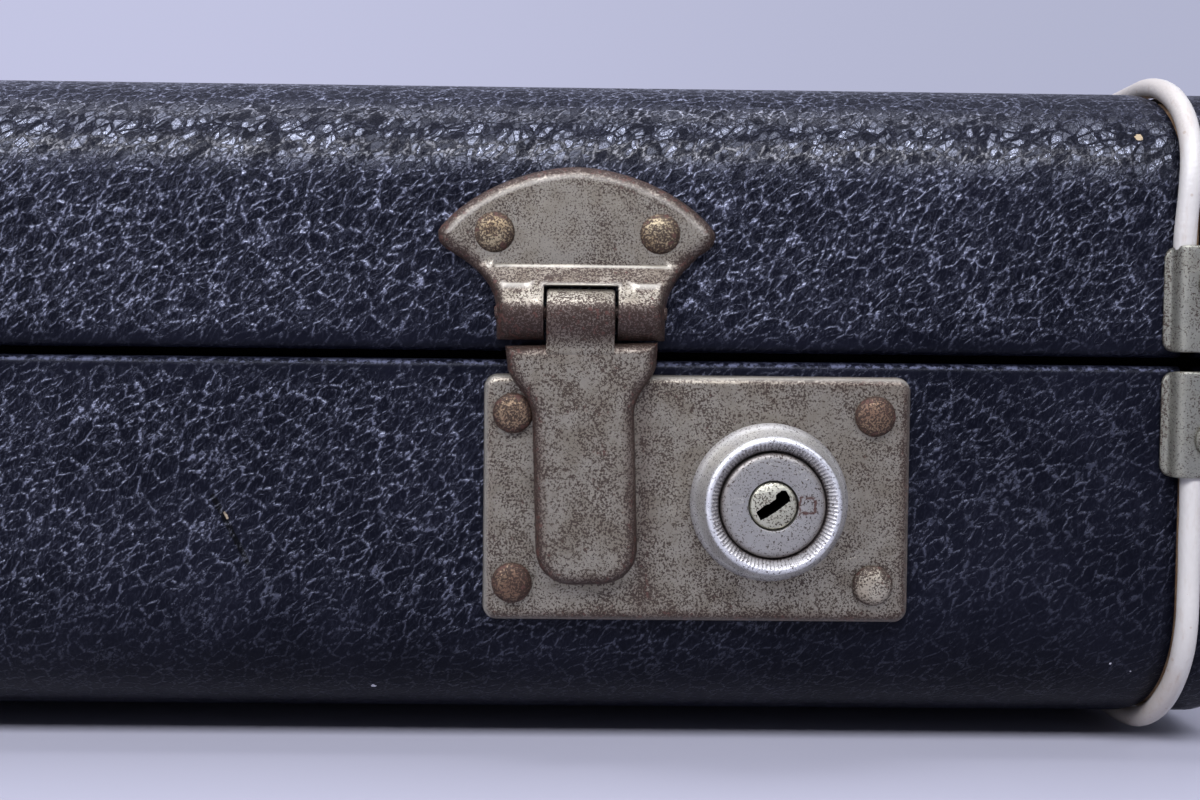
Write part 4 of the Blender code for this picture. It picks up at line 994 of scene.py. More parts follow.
def smooth_loop(points: Sequence[Point2], steps: int) -> list[Point2]:
    """Closed smooth curve through points.

    Args:
        points: places that the curve passes.
        steps: points from one to the next.

    Returns:
        Points of the curve.
    """
    result = []
    count = len(points)
    for index in range(count):
        before, start, end, after = (points[(index + shift) % count] for shift in (-1, 0, 1, 2))
        for step in range(steps):
            t = step / steps
            result.append(tuple(
                0.5 * (2 * start[axis] + (end[axis] - before[axis]) * t
                       + (2 * before[axis] - 5 * start[axis] + 4 * end[axis] - after[axis]) * t * t
                       + (3 * start[axis] - before[axis] - 3 * end[axis] + after[axis]) * t ** 3)
                for axis in (0, 1)))
    return result


def distance_to(points: Sequence[Point2], closed: bool = True) -> Field:
    """Function that gives the distance from a place to an outline.

    Args:
        points: the outline's corners.
        closed: whether the last joins the first.

    Returns:
        Function of a place that gives its distance.
    """
    spans = sides_of(points) if closed else sides_of(points)[:-1]

    def away(x: float, y: float) -> float:
        """Least distance to the outline's sides."""
        best = math.inf
        for (ax, ay), (bx, by) in spans:
            dx, dy = bx - ax, by - ay
            size = dx * dx + dy * dy
            share = 0.0 if size == 0 else held(((x - ax) * dx + (y - ay) * dy) / size)
            best = min(best, math.hypot(x - ax - share * dx, y - ay - share * dy))
        return best

    return away


def inside_test(points: Sequence[Point2]) -> Callable[[float, float], bool]:
    """Function that says whether a place lies inside a closed outline.

    Args:
        points: the outline's corners.

    Returns:
        Function of a place that says whether it is inside.
    """
    spans = sides_of(points)

    def inside(x: float, y: float) -> bool:
        """Count the sides that a line to the right crosses."""
        crossed = False
        for (ax, ay), (bx, by) in spans:
            if (ay > y) != (by > y) and x < (bx - ax) * (y - ay) / (by - ay) + ax:
                crossed = not crossed
        return crossed

    return inside


def inset_ring(points: Sequence[Point2], inset: float) -> list[Point2]:
    """Outline drawn in along the mean normal of its two sides at each point.

    Args:
        points: corners, anticlockwise.
        inset: how far they move in.

    Returns:
        The moved corners.
    """
    result = []
    for index, (x, y) in enumerate(points):
        before = Vector(points[index]) - Vector(points[index - 1])
        after = Vector(points[(index + 1) % len(points)]) - Vector(points[index])
        first, second = before.normalized(), after.normalized()
        inward = Vector((-first.y - second.y, first.x + second.x))
        stretch = max(0.5, inward.length / 2)
        inward = inward.normalized() * (inset / stretch)
        result.append((x + inward.x, y + inward.y))
    return result


# Pressed metal and rivets

RIM_REACH = 2.6 * MM


def rim_value(away: float) -> float:
    """How strongly a place counts as rim, from its distance to the outline."""
    return eased(fading(away, RIM_REACH))


def rolled(flat: float, roll: float, low: float, away: float) -> float:
    """Depth of a face whose edge rolls back over a radius.

    Args:
        flat: depth of the flat face.
        roll: width of the rolled edge.
        low: depth at the very edge.
        away: distance from the edge.

    Returns:
        Depth at that distance.
    """
    if away >= roll:
        return flat
    share = 1.0 - away / roll
    return flat - (flat - low) * (1.0 - math.sqrt(max(0.0, 1.0 - share * share)))


@dataclass(frozen=True)
class FrontPlane:
    """Drawing plane on a long face: across is X, up is Z, and depth stands out of the face."""

    x: float
    y: float
    z: float
    out: int = -1

    def at(self, across: float, up: float, depth: float) -> Vector:
        """Point of the case for a place on the plane."""
        return Vector((self.x + across, self.y + self.out * depth, self.z + up))


@dataclass
class PressedSheet:
    """Sheet of metal whose front is a field of depths over an outline."""

    name: str
    outline: list[Point2]
    depth: Field
    thickness: float
    floor: float
    spacing: float
    rings: tuple[float, ...] = tuple(inset * MM for inset in (0.12, 0.35, 0.65, 1.0, 1.35, 1.7, 2.2))
    side: float = 0.8 * MM
    thinnest: float = 0.05 * MM
    folds: tuple[float, ...] = ()
    back: Field | None = None

    def rows(self, low: float, high: float) -> list[float]:
        """Heights of the grid's rows: even ones, and the folds in place of those near them."""
        even = set(frange(low, high, self.spacing))
        if self.folds:
            first, last = min(self.folds) - self.spacing / 2, max(self.folds) + self.spacing / 2
            even = {row for row in even if not first < row < last}
        return sorted(even | set(self.folds))

    def places(self) -> tuple[list[Point2], int]:
        """Outline points, inner rings and a grid, and how many of them are the outline's."""
        edge = dense(self.outline, self.side)
        away, inside = distance_to(self.outline), inside_test(self.outline)
        points = list(edge)
        for inset in self.rings:
            points += [(x, y) for x, y in inset_ring(edge, inset)
                       if inside(x, y) and away(x, y) > inset * 0.93]
        low_x, high_x = min(x for x, _ in edge), max(x for x, _ in edge)
        keep = self.rings[-1] + self.spacing / 3
        for number, y in enumerate(self.rows(min(y for _, y in edge), max(y for _, y in edge))):
            fold = y in self.folds
            start = 0.0 if fold else (number % 2) * self.spacing / 2
            step = self.spacing / 2 if fold else self.spacing
            points += [(x, y) for x in frange(low_x + start, high_x, step)
                       if inside(x, y) and away(x, y) > keep]
        return points, len(edge)

    def build(self, plane: FrontPlane) -> Item:
        """Make the closed sheet on a plane.

        Args:
            plane: where the sheet is drawn.

        Returns:
            The new object, with its edge attribute.
        """
        points, rim = self.places()
        fixed = [(index, (index + 1) % rim) for index in range(rim)]
        verts, _, faces, *_ = delaunay_2d_cdt([Vector(point) for point in points], fixed,
                                              [list(range(rim))], 1, TINY / 10)
        data = bmesh.new()
        fronts, backs = [], []
        for place in verts:
            depth = max(self.depth(place.x, place.y), self.floor + self.thinnest)
            behind = self.back(place.x, place.y) if self.back else depth - self.thickness
            behind = max(min(behind, depth - self.thinnest), self.floor)
            fronts.append(data.verts.new(plane.at(place.x, place.y, depth)))
            backs.append(data.verts.new(plane.at(place.x, place.y, behind)))
        for corners in faces:
            data.faces.new([fronts[corner] for corner in corners])
            data.faces.new([backs[corner] for corner in reversed(corners)])
        data.verts.index_update()
        border = [side for side in data.edges
                  if len(side.link_faces) == 1 and side.verts[0].index % 2 == 0]
        for side in border:
            first, second = side.verts
            data.faces.new((first, second, backs[second.index // 2], backs[first.index // 2]))
        item = finish_mesh(self.name, data)
        away = distance_to(self.outline)
        mark_values(item, edge=lambda co: rim_value(away(co.x - plane.x, co.z - plane.z)))
        return item


@dataclass(frozen=True)
class RivetHead:
    """Low domed rivet head, slightly dented, its section as shares of the radius and the dome."""

    radius: float = 3.1 * MM
    dome: float = 1.4 * MM
    tilt: float = 0.0
    buried: float = 0.2 * MM
    dented: float = 0.10
    section: tuple[Point2, ...] = ((0.97, 0.0), (1.0, 0.18), (0.975, 0.36), (0.90, 0.56), (0.76, 0.76),
                                   (0.58, 0.89), (0.36, 0.97), (0.16, 1.0), (0.0, 1.0))

    def build(self, name: str, seat: Vector, out: Sequence[float]) -> Item:
        """Turn the head.

        Args:
            name: the piece's name.
            seat: middle of the head's underside.
            out: direction the head faces.

        Returns:
            The new object.
        """
        radius = self.radius
        profile = [(0.0, -self.buried), (radius * 0.9, -self.buried)]
        profile += [(radius * across, self.dome * up) for across, up in self.section]

        def wave(number: int, turn: float) -> float:
            """Lean and dents of the head."""
            spread = profile[number][0] / radius
            dent = uneven(seat.x * 900 + math.cos(turn) * spread, seat.z * 900, math.sin(turn) * spread)
            return spread * (self.tilt * math.cos(turn)) + dent * self.dome * self.dented

        item = turned(name, profile, seat, out, 40, wave)
        plain, soft = radius * 0.72, radius * 0.4
        mark_values(item, edge=lambda co: max(0.0, ((co - seat).length - plain) / soft))
        return item


# Shells of the case


@dataclass(frozen=True)
class Shell:
    """One half of the case as its CAD cover bounds it."""

    name: str
    rim: float
    outside: float
    radius: float
    front: float
    back: float
    bead_x: float
    half_length: float
    cloth: float = 1.0 * MM
    wrap: float = 9.0 * MM
    rim_round: float = 1.5 * MM
    end_round: float = 5.0 * MM
    wall_step: float = 3.0 * MM
    floor_parts: int = 60
    wall_from_middle: float = 140 * MM
    ripple_from_rim: float = 8.0 * MM

    @property
    def up(self) -> int:
        """Direction in Z from the outer plane to the rim."""
        return 1 if self.rim > self.outside else -1

    @property
    def middle(self) -> float:
        """Middle of the shell along Y."""
        return (self.front + self.back) / 2

    @property
    def half_width(self) -> float:
        """Half of the shell along Y."""
        return (self.back - self.front) / 2

    @classmethod
    def of(cls, name: str, radius: float) -> "Shell":
        """Read one half of the case from the frame."""
        low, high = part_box(f"{name}_cover")
        end_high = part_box(f"{name}_end_cover_right")[1]
        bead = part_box(f"{name}_piping_right")
        rim, outside = (high[2], low[2]) if name == "body" else (low[2], high[2])
        bead_x = (bead[0][0] + bead[1][0]) / 2
        return cls(name, rim, outside, radius, low[1], high[1], bead_x, end_high[0])

    def rounding(self, half: float, floor: float, radius: float, parts: int) -> list[Point2]:
        """Points of the long rounded edge, from the wall to the floor."""
        return [(half - radius + radius * math.cos(turn),
                 floor + self.up * radius * (1 - math.sin(turn)))
                for turn in frange(0, QUARTER, QUARTER / parts)]

    def section(self, inset: float, away: float = 0.0) -> list[Point2]:
        """Outer line of the shell in Y and Z, from the front rim's inner edge round to the back's.

        Args:
            inset: how far the walls and the floor are drawn in.
            away: how far the rim is drawn back.

        Returns:
            Points from front to back.
        """
        radius = max(self.radius - inset, 1.0 * MM)
        edge = max(self.rim_round - away, 0.4 * MM)
        half = self.half_width - inset
        rim = self.rim - self.up * away
        floor = self.outside + self.up * inset
        wrap = self.wrap - inset
        line = [(half - wrap + (wrap - edge) * step / 3, rim) for step in range(3)]
        line += [(half - edge + edge * math.sin(turn), rim - self.up * edge * (1 - math.cos(turn)))
                 for turn in frange(0, QUARTER, QUARTER / 5)]
        line += [(half, rim - self.up * drop)
                 for drop in frange(edge, abs(rim - floor) - radius, self.wall_step)[1:-1]]
        line += self.rounding(half, floor, radius, 14)
        flat, parts = half - radius, self.floor_parts
        across = [(-flat + 2 * flat * step / parts, floor) for step in range(1, parts)]
        front_side = [(self.middle - offset, z) for offset, z in line]
        return front_side + [(self.middle + offset, z) for offset, z in across + line[::-1]]

    def ripple(self, point: Vector) -> float:
        """Soft unevenness of cloth glued over wood, up to a share of a millimetre."""
        place = Vector((point.x * 22 + self.rim * 90, point.y * 30, point.z * 34))
        near = noise.noise(place * 4.3 + Vector((5.0, 1.0, 9.0)))
        return (0.11 * noise.noise(place) + 0.05 * near - 0.06) * MM

    def rings(self, places: Sequence[Point2]) -> list[list[Vector]]:
        """Closed rings of cloth: the rippled outer line, then the inner line back again.

        Args:
            places: X and inset of each ring.

        Returns:
            The rings.
        """
        rings = []
        for x, inset in places:
            ring = []
            for y, z in self.section(inset):
                point = Vector((x, y, z))
                lean = Vector((0, 0, -self.up))
                if abs(y - self.middle) > self.wall_from_middle:
                    lean = Vector((0, y - self.middle, 0)).normalized()
                share = min(1.0, abs(z - self.rim) / self.ripple_from_rim)
                ring.append(point + lean * (self.ripple(point) * share))
            inner = self.section(inset + self.cloth, self.cloth)
            rings.append(ring + [Vector((x, y, z)) for y, z in reversed(inner)])
        return rings


@dataclass
class Covering:
    """Leathercloth of one half of the case."""

    shell: Shell
    finish: Leathercloth
    torn: Leathercloth
    bead_gap: float = 1.2 * MM
    groove: float = 0.55 * MM
    groove_reach: float = 3.2 * MM
    step: float = 4.5 * MM
    smooth_rim: float = 3.5 * MM
    end_inset: float = 17.0 * MM
    scuffed_from_x: float = 445 * MM
    scuffed_over: float = 22 * MM
    tear_reach: Point2 = (2.2 * MM, 14.0 * MM)

    def build(self) -> None:
        """Make the long cover and both end covers."""
        shell = self.shell
        edge = shell.bead_x - self.bead_gap
        grooved = [(edge - away, self.sunk(away)) for away in frange(0, self.groove_reach, 0.4 * MM)]
        flat = frange(self.groove_reach - edge, edge - self.groove_reach, self.step)[1:-1]
        places = [(-x, inset) for x, inset in grooved] + [(x, 0.0) for x in flat] + grooved[::-1]
        cover = loft(f"{shell.name}_covering", shell.rings(places))
        if shell.name == "body":
            low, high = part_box("lock_box")
            cut(cover, box_mesh("mortise", (low[0], low[1] - 2 * MM, low[2]), high))
        mark_values(cover, worn=constant(0.0), relief=self.relief, polish=self.polish, rub=self.rubbed)
        dress(cover, self.finish, shell.name, f"{shell.name}_cover")
        for side in Side:
            self.build_end(side)

    def sunk(self, away: float) -> float:
        """How far the cloth sinks at a distance from its edge by the bead."""
        share = fading(away, self.groove_reach)
        return self.groove * share * share

    def relief(self, point: Vector) -> float:
        """Strength of the grain: pressed smooth near the rims and worn low on the body."""
        shell = self.shell
        rim = min(1.0, abs(point.z - shell.rim) / self.smooth_rim)
        low = min(1.0, 0.14 + max(0.0, point.z - 14 * MM) / (28 * MM))
        patch = 0.86 + 0.5 * uneven(point.x * 14, point.y * 14, point.z * 14)
        share = 0.5 + 0.5 * math.tanh((point.x - self.scuffed_from_x) / self.scuffed_over)
        full, worn = (1.06, 0.48) if shell.name == "lid" else (0.90, 0.60)
        return max(0.1, rim * rim * low * patch * (full - worn * share))

    def polish(self, point: Vector) -> float:
        """How far hands have polished the cloth: most along the lid's rounded edge."""
        shell = self.shell
        if shell.name != "lid":
            return 0.0
        lift = (point.z - shell.outside + shell.radius) / shell.radius
        return held((lift - 0.16) / 0.14) * held((0.74 - lift) / 0.20)

    def rubbed(self, point: Vector) -> float:
        """How strongly the painted highlight lies along the body's upper rim edge."""
        shell = self.shell
        if shell.name != "body":
            return 0.0
        return fading(abs(shell.rim - 0.55 * MM - point.z), 0.38 * MM)

    def torn_at(self, point: Vector) -> float:
        """How torn the body's right end cover is: along the bead, low on the front corner."""
        shell = self.shell
        if point.y > shell.front + 20 * MM:
            return 0.0
        near, low = self.tear_reach
        below = fading(max(0.0, point.z - shell.outside - 2 * MM), low)
        return min(1.0, 2.0 * below) * fading(point.x - shell.bead_x - self.bead_gap, near)

    def build_end(self, side: Side) -> None:
        """Make one end: short rings from the bead, the rounding, and the flat end.

        Args:
            side: end of the case.
        """
        shell = self.shell
        end = shell.end_round
        inner = shell.bead_x + self.bead_gap
        outer = shell.half_length - end
        places = [(x, self.sunk(x - inner)) for x in frange(inner, outer, 0.5 * MM)]
        places += [(outer + end * math.sin(turn), end * (1 - math.cos(turn)))
                   for turn in frange(0, QUARTER, QUARTER / 8)[1:]]
        places += [(shell.half_length, inset) for inset in frange(end, self.end_inset, 4 * MM)[1:]]
        rings = shell.rings([(side.value * x, inset) for x, inset in places])
        item = self.closed_end(side, [ring[:len(ring) // 2] for ring in rings])
        torn = side is Side.RIGHT and shell.name == "body"
        mark_values(item, worn=self.torn_at if torn else constant(0.0), relief=self.relief,
                    polish=self.polish)
        dress(item, self.torn, shell.name, f"{shell.name}_end_cover_{side.label}")

    def closed_end(self, side: Side, rings: list[list[Vector]]) -> Item:
        """Close the end face and give the cloth its thickness.

        Args:
            side: end of the case.
            rings: rings from the bead to the flat end.

        Returns:
            The new object.
        """
        data = bmesh.new()
        loops = [[data.verts.new(point) for point in ring] for ring in rings]
        for near, far in zip(loops, loops[1:]):
            for corners in zip(near, near[1:], far[1:], far):
                data.faces.new(corners)
        data.faces.new(loops[-1])
        item = finish_mesh(f"{self.shell.name}_end_covering_{side.label}", data)
        largest = max(item.data.polygons, key=lambda face: face.area)
        if largest.normal.dot(Vector((side.value, 0, 0))) < 0:
            item.data.flip_normals()
        solid = item.modifiers.new("cloth", "SOLIDIFY")
        solid.thickness = self.shell.cloth * 0.8
        solid.offset = -1
        keep_modified(item)
        return item


@dataclass
class Piping:
    """White bead round one end of a shell, wavering where it was sewn by hand."""

    shell: Shell
    finish: PipingVinyl
    radius: float = 1.65 * MM
    proud: float = 1.1 * MM
    clip_reach: float = 16.6 * MM
    drift: float = 1.9 * MM
    drift_length: float = 24.0 * MM
    sway: float = 0.30 * MM
    swell: float = 0.035

    def line(self, side: Side) -> list[Vector]:
        """Middle line of the bead, from under the front clip to under the back clip.

        Args:
            side: end of the case.

        Returns:
            Points of the line.
        """
        shell, out = self.shell, self.proud
        start = abs(shell.rim - shell.outside) - self.clip_reach
        radius = shell.radius + out
        half = shell.half_width + out
        floor = shell.outside - shell.up * out
        branch = [(half, shell.outside + shell.up * height)
                  for height in frange(radius - out, start, 1.5 * MM)[::-1]]
        branch += shell.rounding(half, floor, radius, 20)[1:]
        branch += [(offset, floor) for offset in frange(half - radius, 0, 5 * MM)[1:]]
        path = [(shell.middle - offset, z) for offset, z in branch]
        path += [(shell.middle + offset, z) for offset, z in branch[-2::-1]]
        points = []
        for y, z in path:
            sway = uneven(y * 40 + side.value * 9, z * 60, shell.rim * 50) * self.sway
            points.append(Vector((side.value * (shell.bead_x + sway + self.shift(side, y, z)), y, z)))
        return points

    def shift(self, side: Side, y: float, z: float) -> float:
        """Lean of the lid's bead above the front right clip."""
        shell = self.shell
        if shell.name != "lid" or side is not Side.RIGHT or y > shell.front + 30 * MM:
            return 0.0
        return -self.drift * (1 - eased(held((z - shell.rim - self.clip_reach) / self.drift_length)))

    def soiled(self, co: Vector) -> float:
        """Darker near the floor and in the seam."""
        shell = self.shell
        low = fading(co.z - 3 * MM, 22 * MM) if shell.name == "body" else 0.0
        seam = abs(co.x) < shell.bead_x and abs(co.y - shell.middle) < shell.half_width
        return 0.25 * low + 0.4 * seam

    def build(self) -> None:
        """Sweep both beads, their round section square to a path bending in Y and Z."""
        shell = self.shell
        for side in Side:
            path = self.line(side)
            last = len(path) - 1
            rings = []
            for index, point in enumerate(path):
                forward = path[min(index + 1, last)] - path[max(index - 1, 0)]
                forward = Vector((0, forward.y, forward.z)).normalized()
                outward = Vector((0, -forward.z, forward.y))
                wobble = uneven(index * 0.31, side.value * 3.0, shell.rim * 70)
                radius = self.radius * (1.0 + self.swell * wobble)
                turns = frange(0, 2 * math.pi, math.pi / 10)[:-1]
                rings.append([point + outward * (radius * math.cos(turn))
                              + Vector((radius * math.sin(turn), 0, 0)) for turn in turns])
            item = loft(f"{shell.name}_bead_{side.label}", rings)
            mark_values(item, edge=self.soiled)
            dress(item, self.finish, shell.name, f"{shell.name}_piping_{side.label}")


@dataclass
class BeadClip:
    """Bent-sheet clip with its rivet over the cut end of a bead; the bends are in millimetres."""

    shell: Shell
    side: Side
    face: Face
    finish: PlatedMetal
    left: float = 4.6 * MM
    right: float = 8.9 * MM
    height: float = 16.4 * MM
    from_rim: float = 0.8 * MM
    corner: float = 1.9 * MM
    sheet: float = 0.8 * MM
    edge_round: float = 0.35 * MM
    soft: tuple[float, ...] = (0.0, 0.08 * MM, 0.22 * MM, 0.45 * MM)
    plain_inset: float = 0.9 * MM
    rivet_along: float = 2.4 * MM
    rivet_from_rim: float = 11.3 * MM
    rivet_out: float = 3.2 * MM
    bend: tuple[Point2, ...] = (
        (0.0, 0.45), (0.12, 0.58), (0.4, 0.66), (0.75, 0.80), (0.95, 1.10), (1.15, 1.60),
        (1.35, 2.10), (1.6, 2.55), (1.9, 2.90), (2.3, 3.14), (2.8, 3.27), (3.4, 3.30))
    far_bend: tuple[Point2, ...] = ((1.1, 3.30), (0.75, 3.18), (0.45, 2.90), (0.2, 2.40), (0.0, 1.60))

    def columns(self) -> list[Point2]:
        """Places across the clip and their depths, from the flange to the far edge."""
        width = self.left + self.right
        near = [(along * MM, depth * MM) for along, depth in self.bend]
        far = [(width - along * MM, depth * MM) for along, depth in self.far_bend]
        flat = [(along, near[-1][1]) for along in frange(near[-1][0], far[0][0], 1.1 * MM)[1:-1]]
        return near + flat + far

    def height_at(self, along: float) -> float:
        """Half height at a place across the clip, with rounded corners."""
        short = max(0.0, self.corner - min(along, self.left + self.right - along))
        return self.height / 2 - self.corner + math.sqrt(max(0.0, self.corner ** 2 - short ** 2))

    def tarnished(self, along: float) -> float:
        """Darker along the flange and the far edge, by the place from the bead."""
        near = fading(along + self.left, 1.0 * MM)
        return 0.7 * max(near, fading(self.right - along, 2.0 * MM))

    def build(self) -> None:
        """Make the clip and its rivet as one piece."""
        shell, side, up = self.shell, self.side.value, self.shell.up
        face_y = shell.front if self.face is Face.FRONT else shell.back
        plane = FrontPlane(side * shell.bead_x, face_y, shell.rim, self.face.value)
        middle = -self.from_rim - self.height / 2
        fronts, backs = [], []
        for along, depth in self.columns():
            half = self.height_at(along)
            inner = half - self.plain_inset
            rows = [-half + inset for inset in self.soft] + frange(-inner, inner, inner / 6)
            rows += [half - inset for inset in reversed(self.soft)]
            front, back = [], []
            for row in rows:
                near = fading(half - abs(row), 0.5 * MM)
                drop = self.edge_round * (1.0 - math.sqrt(max(0.0, 1.0 - near * near)))
                dent = uneven(along * 260, row * 200, shell.rim * 99 + side) * 0.05 * MM
                out = max(depth - drop + dent, 0.3 * MM)
                spot = (side * (along - self.left), up * (middle + row))
                front.append(plane.at(*spot, out))
                back.append(plane.at(*spot, max(0.2 * MM, out - self.sheet)))
            fronts.append(front)
            backs.append(back)
        corner = f"{self.face.label}_{self.side.label}"
        clip = shell_of_grids(f"{shell.name}_end_clip_{corner}", fronts, backs)
        mark_values(clip, edge=lambda co: self.tarnished(side * (co.x - plane.x)))
        seat = plane.at(side * self.rivet_along, -up * self.rivet_from_rim, self.rivet_out)
        head = RivetHead().build("rivet", seat, (0, self.face.value, 0))
        joined(clip, head)
        dress(clip, self.finish, shell.name, f"{shell.name}_clip_{corner}")


@dataclass
class DustStrip:
    """Near-black strip let into the body's rim: painted shade that makes the joint between lid and body
    look black.
    """

    body: Shell
    lid: Shell
    finish: MouldedGrip
    inset: float = 4.0 * MM
    width: float = 2.0 * MM
    corner: float = 10.0 * MM
    gap: float = 0.15 * MM
    sunk: float = 0.3 * MM

    def build(self) -> None:
        """Sweep a flat bar round the rim."""
        shell = self.body
        low, high = shell.rim - self.sunk, self.lid.rim - self.gap
        outer, inner = (rounded_box(shell.half_length - inset, shell.half_width - inset,
                                    self.corner - inset + self.inset)
                        for inset in (self.inset, self.inset + self.width))
        loops = [[Vector((x, shell.middle + y, z)) for x, y in line]
                 for line, z in ((outer, low), (outer, high), (inner, high), (inner, low))]
        dress(loft("rim_dust_strip", loops, ringed=True), self.finish, "body")


# Locks


@dataclass(frozen=True)
class LockPlace:
    """Where one lock stands: the middle of its plate, its hasp axis and the cover's front."""

    name: str
    x: float
    z: float
    face: float
    hasp_x: float
    hasp_z: float
    knob_x: float
    knob_z: float
    catch_across: ClassVar[float] = 0.8 * MM
    catch_down: ClassVar[float] = 29.0 * MM

    @classmethod
    def of(cls, name: str, across: float = 11.0 * MM, drop: float = 0.3 * MM,
           hasp_shift: float = -0.5 * MM) -> "LockPlace":
        """Read a lock's place from the frame."""
        low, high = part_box(f"{name}_lock_plate")
        pin_low, pin_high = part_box(f"{name}_hasp_pin")
        x, z = (low[0] + high[0]) / 2, (low[2] + high[2]) / 2
        hasp_x = (pin_low[0] + pin_high[0]) / 2 + hasp_shift
        hasp_z = (pin_low[2] + pin_high[2]) / 2
        return cls(name, x, z, high[1] + 0.3 * MM, hasp_x, hasp_z, x + across, z - drop)

    def plate_plane(self) -> FrontPlane:
        """Drawing plane about the middle of the plate."""
        return FrontPlane(self.x, self.face, self.z)

    def hasp_plane(self) -> FrontPlane:
        """Drawing plane about the hasp's axis."""
        return FrontPlane(self.hasp_x, self.face, self.hasp_z)

    def block(self, name: str, middle: Point2, half: Point2, depths: Point2) -> Item:
        """Plain block on the plate.

        Args:
            name: the block's name.
            middle: its middle in X and Z.
            half: half its width and half its height.
            depths: how far its two ends stand out of the cover.

        Returns:
            The block.
        """
        (x, z), (width, height) = middle, half
        near, far = (self.face - depth for depth in depths)
        return box_mesh(name, (x - width, near, z - height), (x + width, far, z + height))

    def catch(self) -> Point2:
        """Middle of the hasp's catch in X and Z."""
        return self.hasp_x + self.catch_across, self.hasp_z - self.catch_down


@dataclass
class LockPlate:
    """Pressed plate with rolled edges, cut for the catch and the knob's stem."""

    place: LockPlace
    finish: PlatedMetal
    half_width: float = 32.9 * MM
    half_height: float = 19.0 * MM
    corner: float = 2.2 * MM
    front: float = 2.3 * MM
    roll: float = 1.4 * MM
    rim: float = 0.5 * MM
    sheet: float = 1.0 * MM
    floor: float = 0.3 * MM
    spacing: float = 1.6 * MM
    stem: float = 5.1 * MM
    travel: float = 4.5 * MM
    cut_depths: Point2 = (4.0 * MM, -0.1 * MM)
    catch_half: Point2 = (4.6 * MM, 2.3 * MM)
    arm_x: float = -17.6 * MM
    arm_half: float = 9.3 * MM
    arm_foot: float = -22.0 * MM
    bright_rim: float = 1.2 * MM

    def build(self) -> None:
        """Make the plate."""
        place = self.place
        outline = rounded_box(self.half_width, self.half_height, self.corner)
        away = distance_to(outline)

        def depth(x: float, z: float) -> float:
            """Flat face, rolled rim and slight dents."""
            dent = uneven(x * 120, z * 150, place.x * 9) * 0.05 * MM
            return rolled(self.front, self.roll, self.rim, away(x, z)) + dent

        def tarnished(co: Vector) -> float:
            """Rim tarnish, darker at the right and along the bottom as painted shade, and a painted
            shadow along the arm's right edge.
            """
            x, z = co.x - place.x, co.z - place.z
            corner = 0.30 + 0.70 * held(0.7 + x / (30 * MM) - z / (22 * MM))
            arm = fading(abs(abs(x - self.arm_x) - self.arm_half), 2.2 * MM)
            beside = z > self.arm_foot and x > self.arm_x
            return min(1.0, max(rim_value(away(x, z)) * corner, 0.5 * arm * beside))

        def rubbed(co: Vector) -> float:
            """Thin painted highlight just inside the rim, strongest at the top and left."""
            x, z = co.x - place.x, co.z - place.z
            near = fading(abs(away(x, z) - 0.35 * MM), 0.45 * MM)
            high = z > self.half_height - self.bright_rim
            return near * (0.7 if high or x < -self.half_width + self.bright_rim else 0.25)

        sheet = PressedSheet(f"{place.name}_plate", outline, depth, self.sheet, self.floor,
                             self.spacing)
        plate = sheet.build(place.plate_plane())
        slot = (place.knob_x + self.travel / 2, place.knob_z)
        half = (self.stem + self.travel / 2, self.stem)
        cut(plate, place.block("stem_slot", slot, half, self.cut_depths))
        cut(plate, place.block("catch_slot", place.catch(), self.catch_half, self.cut_depths))
        mark_values(plate, edge=tarnished, bright=rubbed)
        dress(plate, self.finish, "body", f"{place.name}_lock_plate")


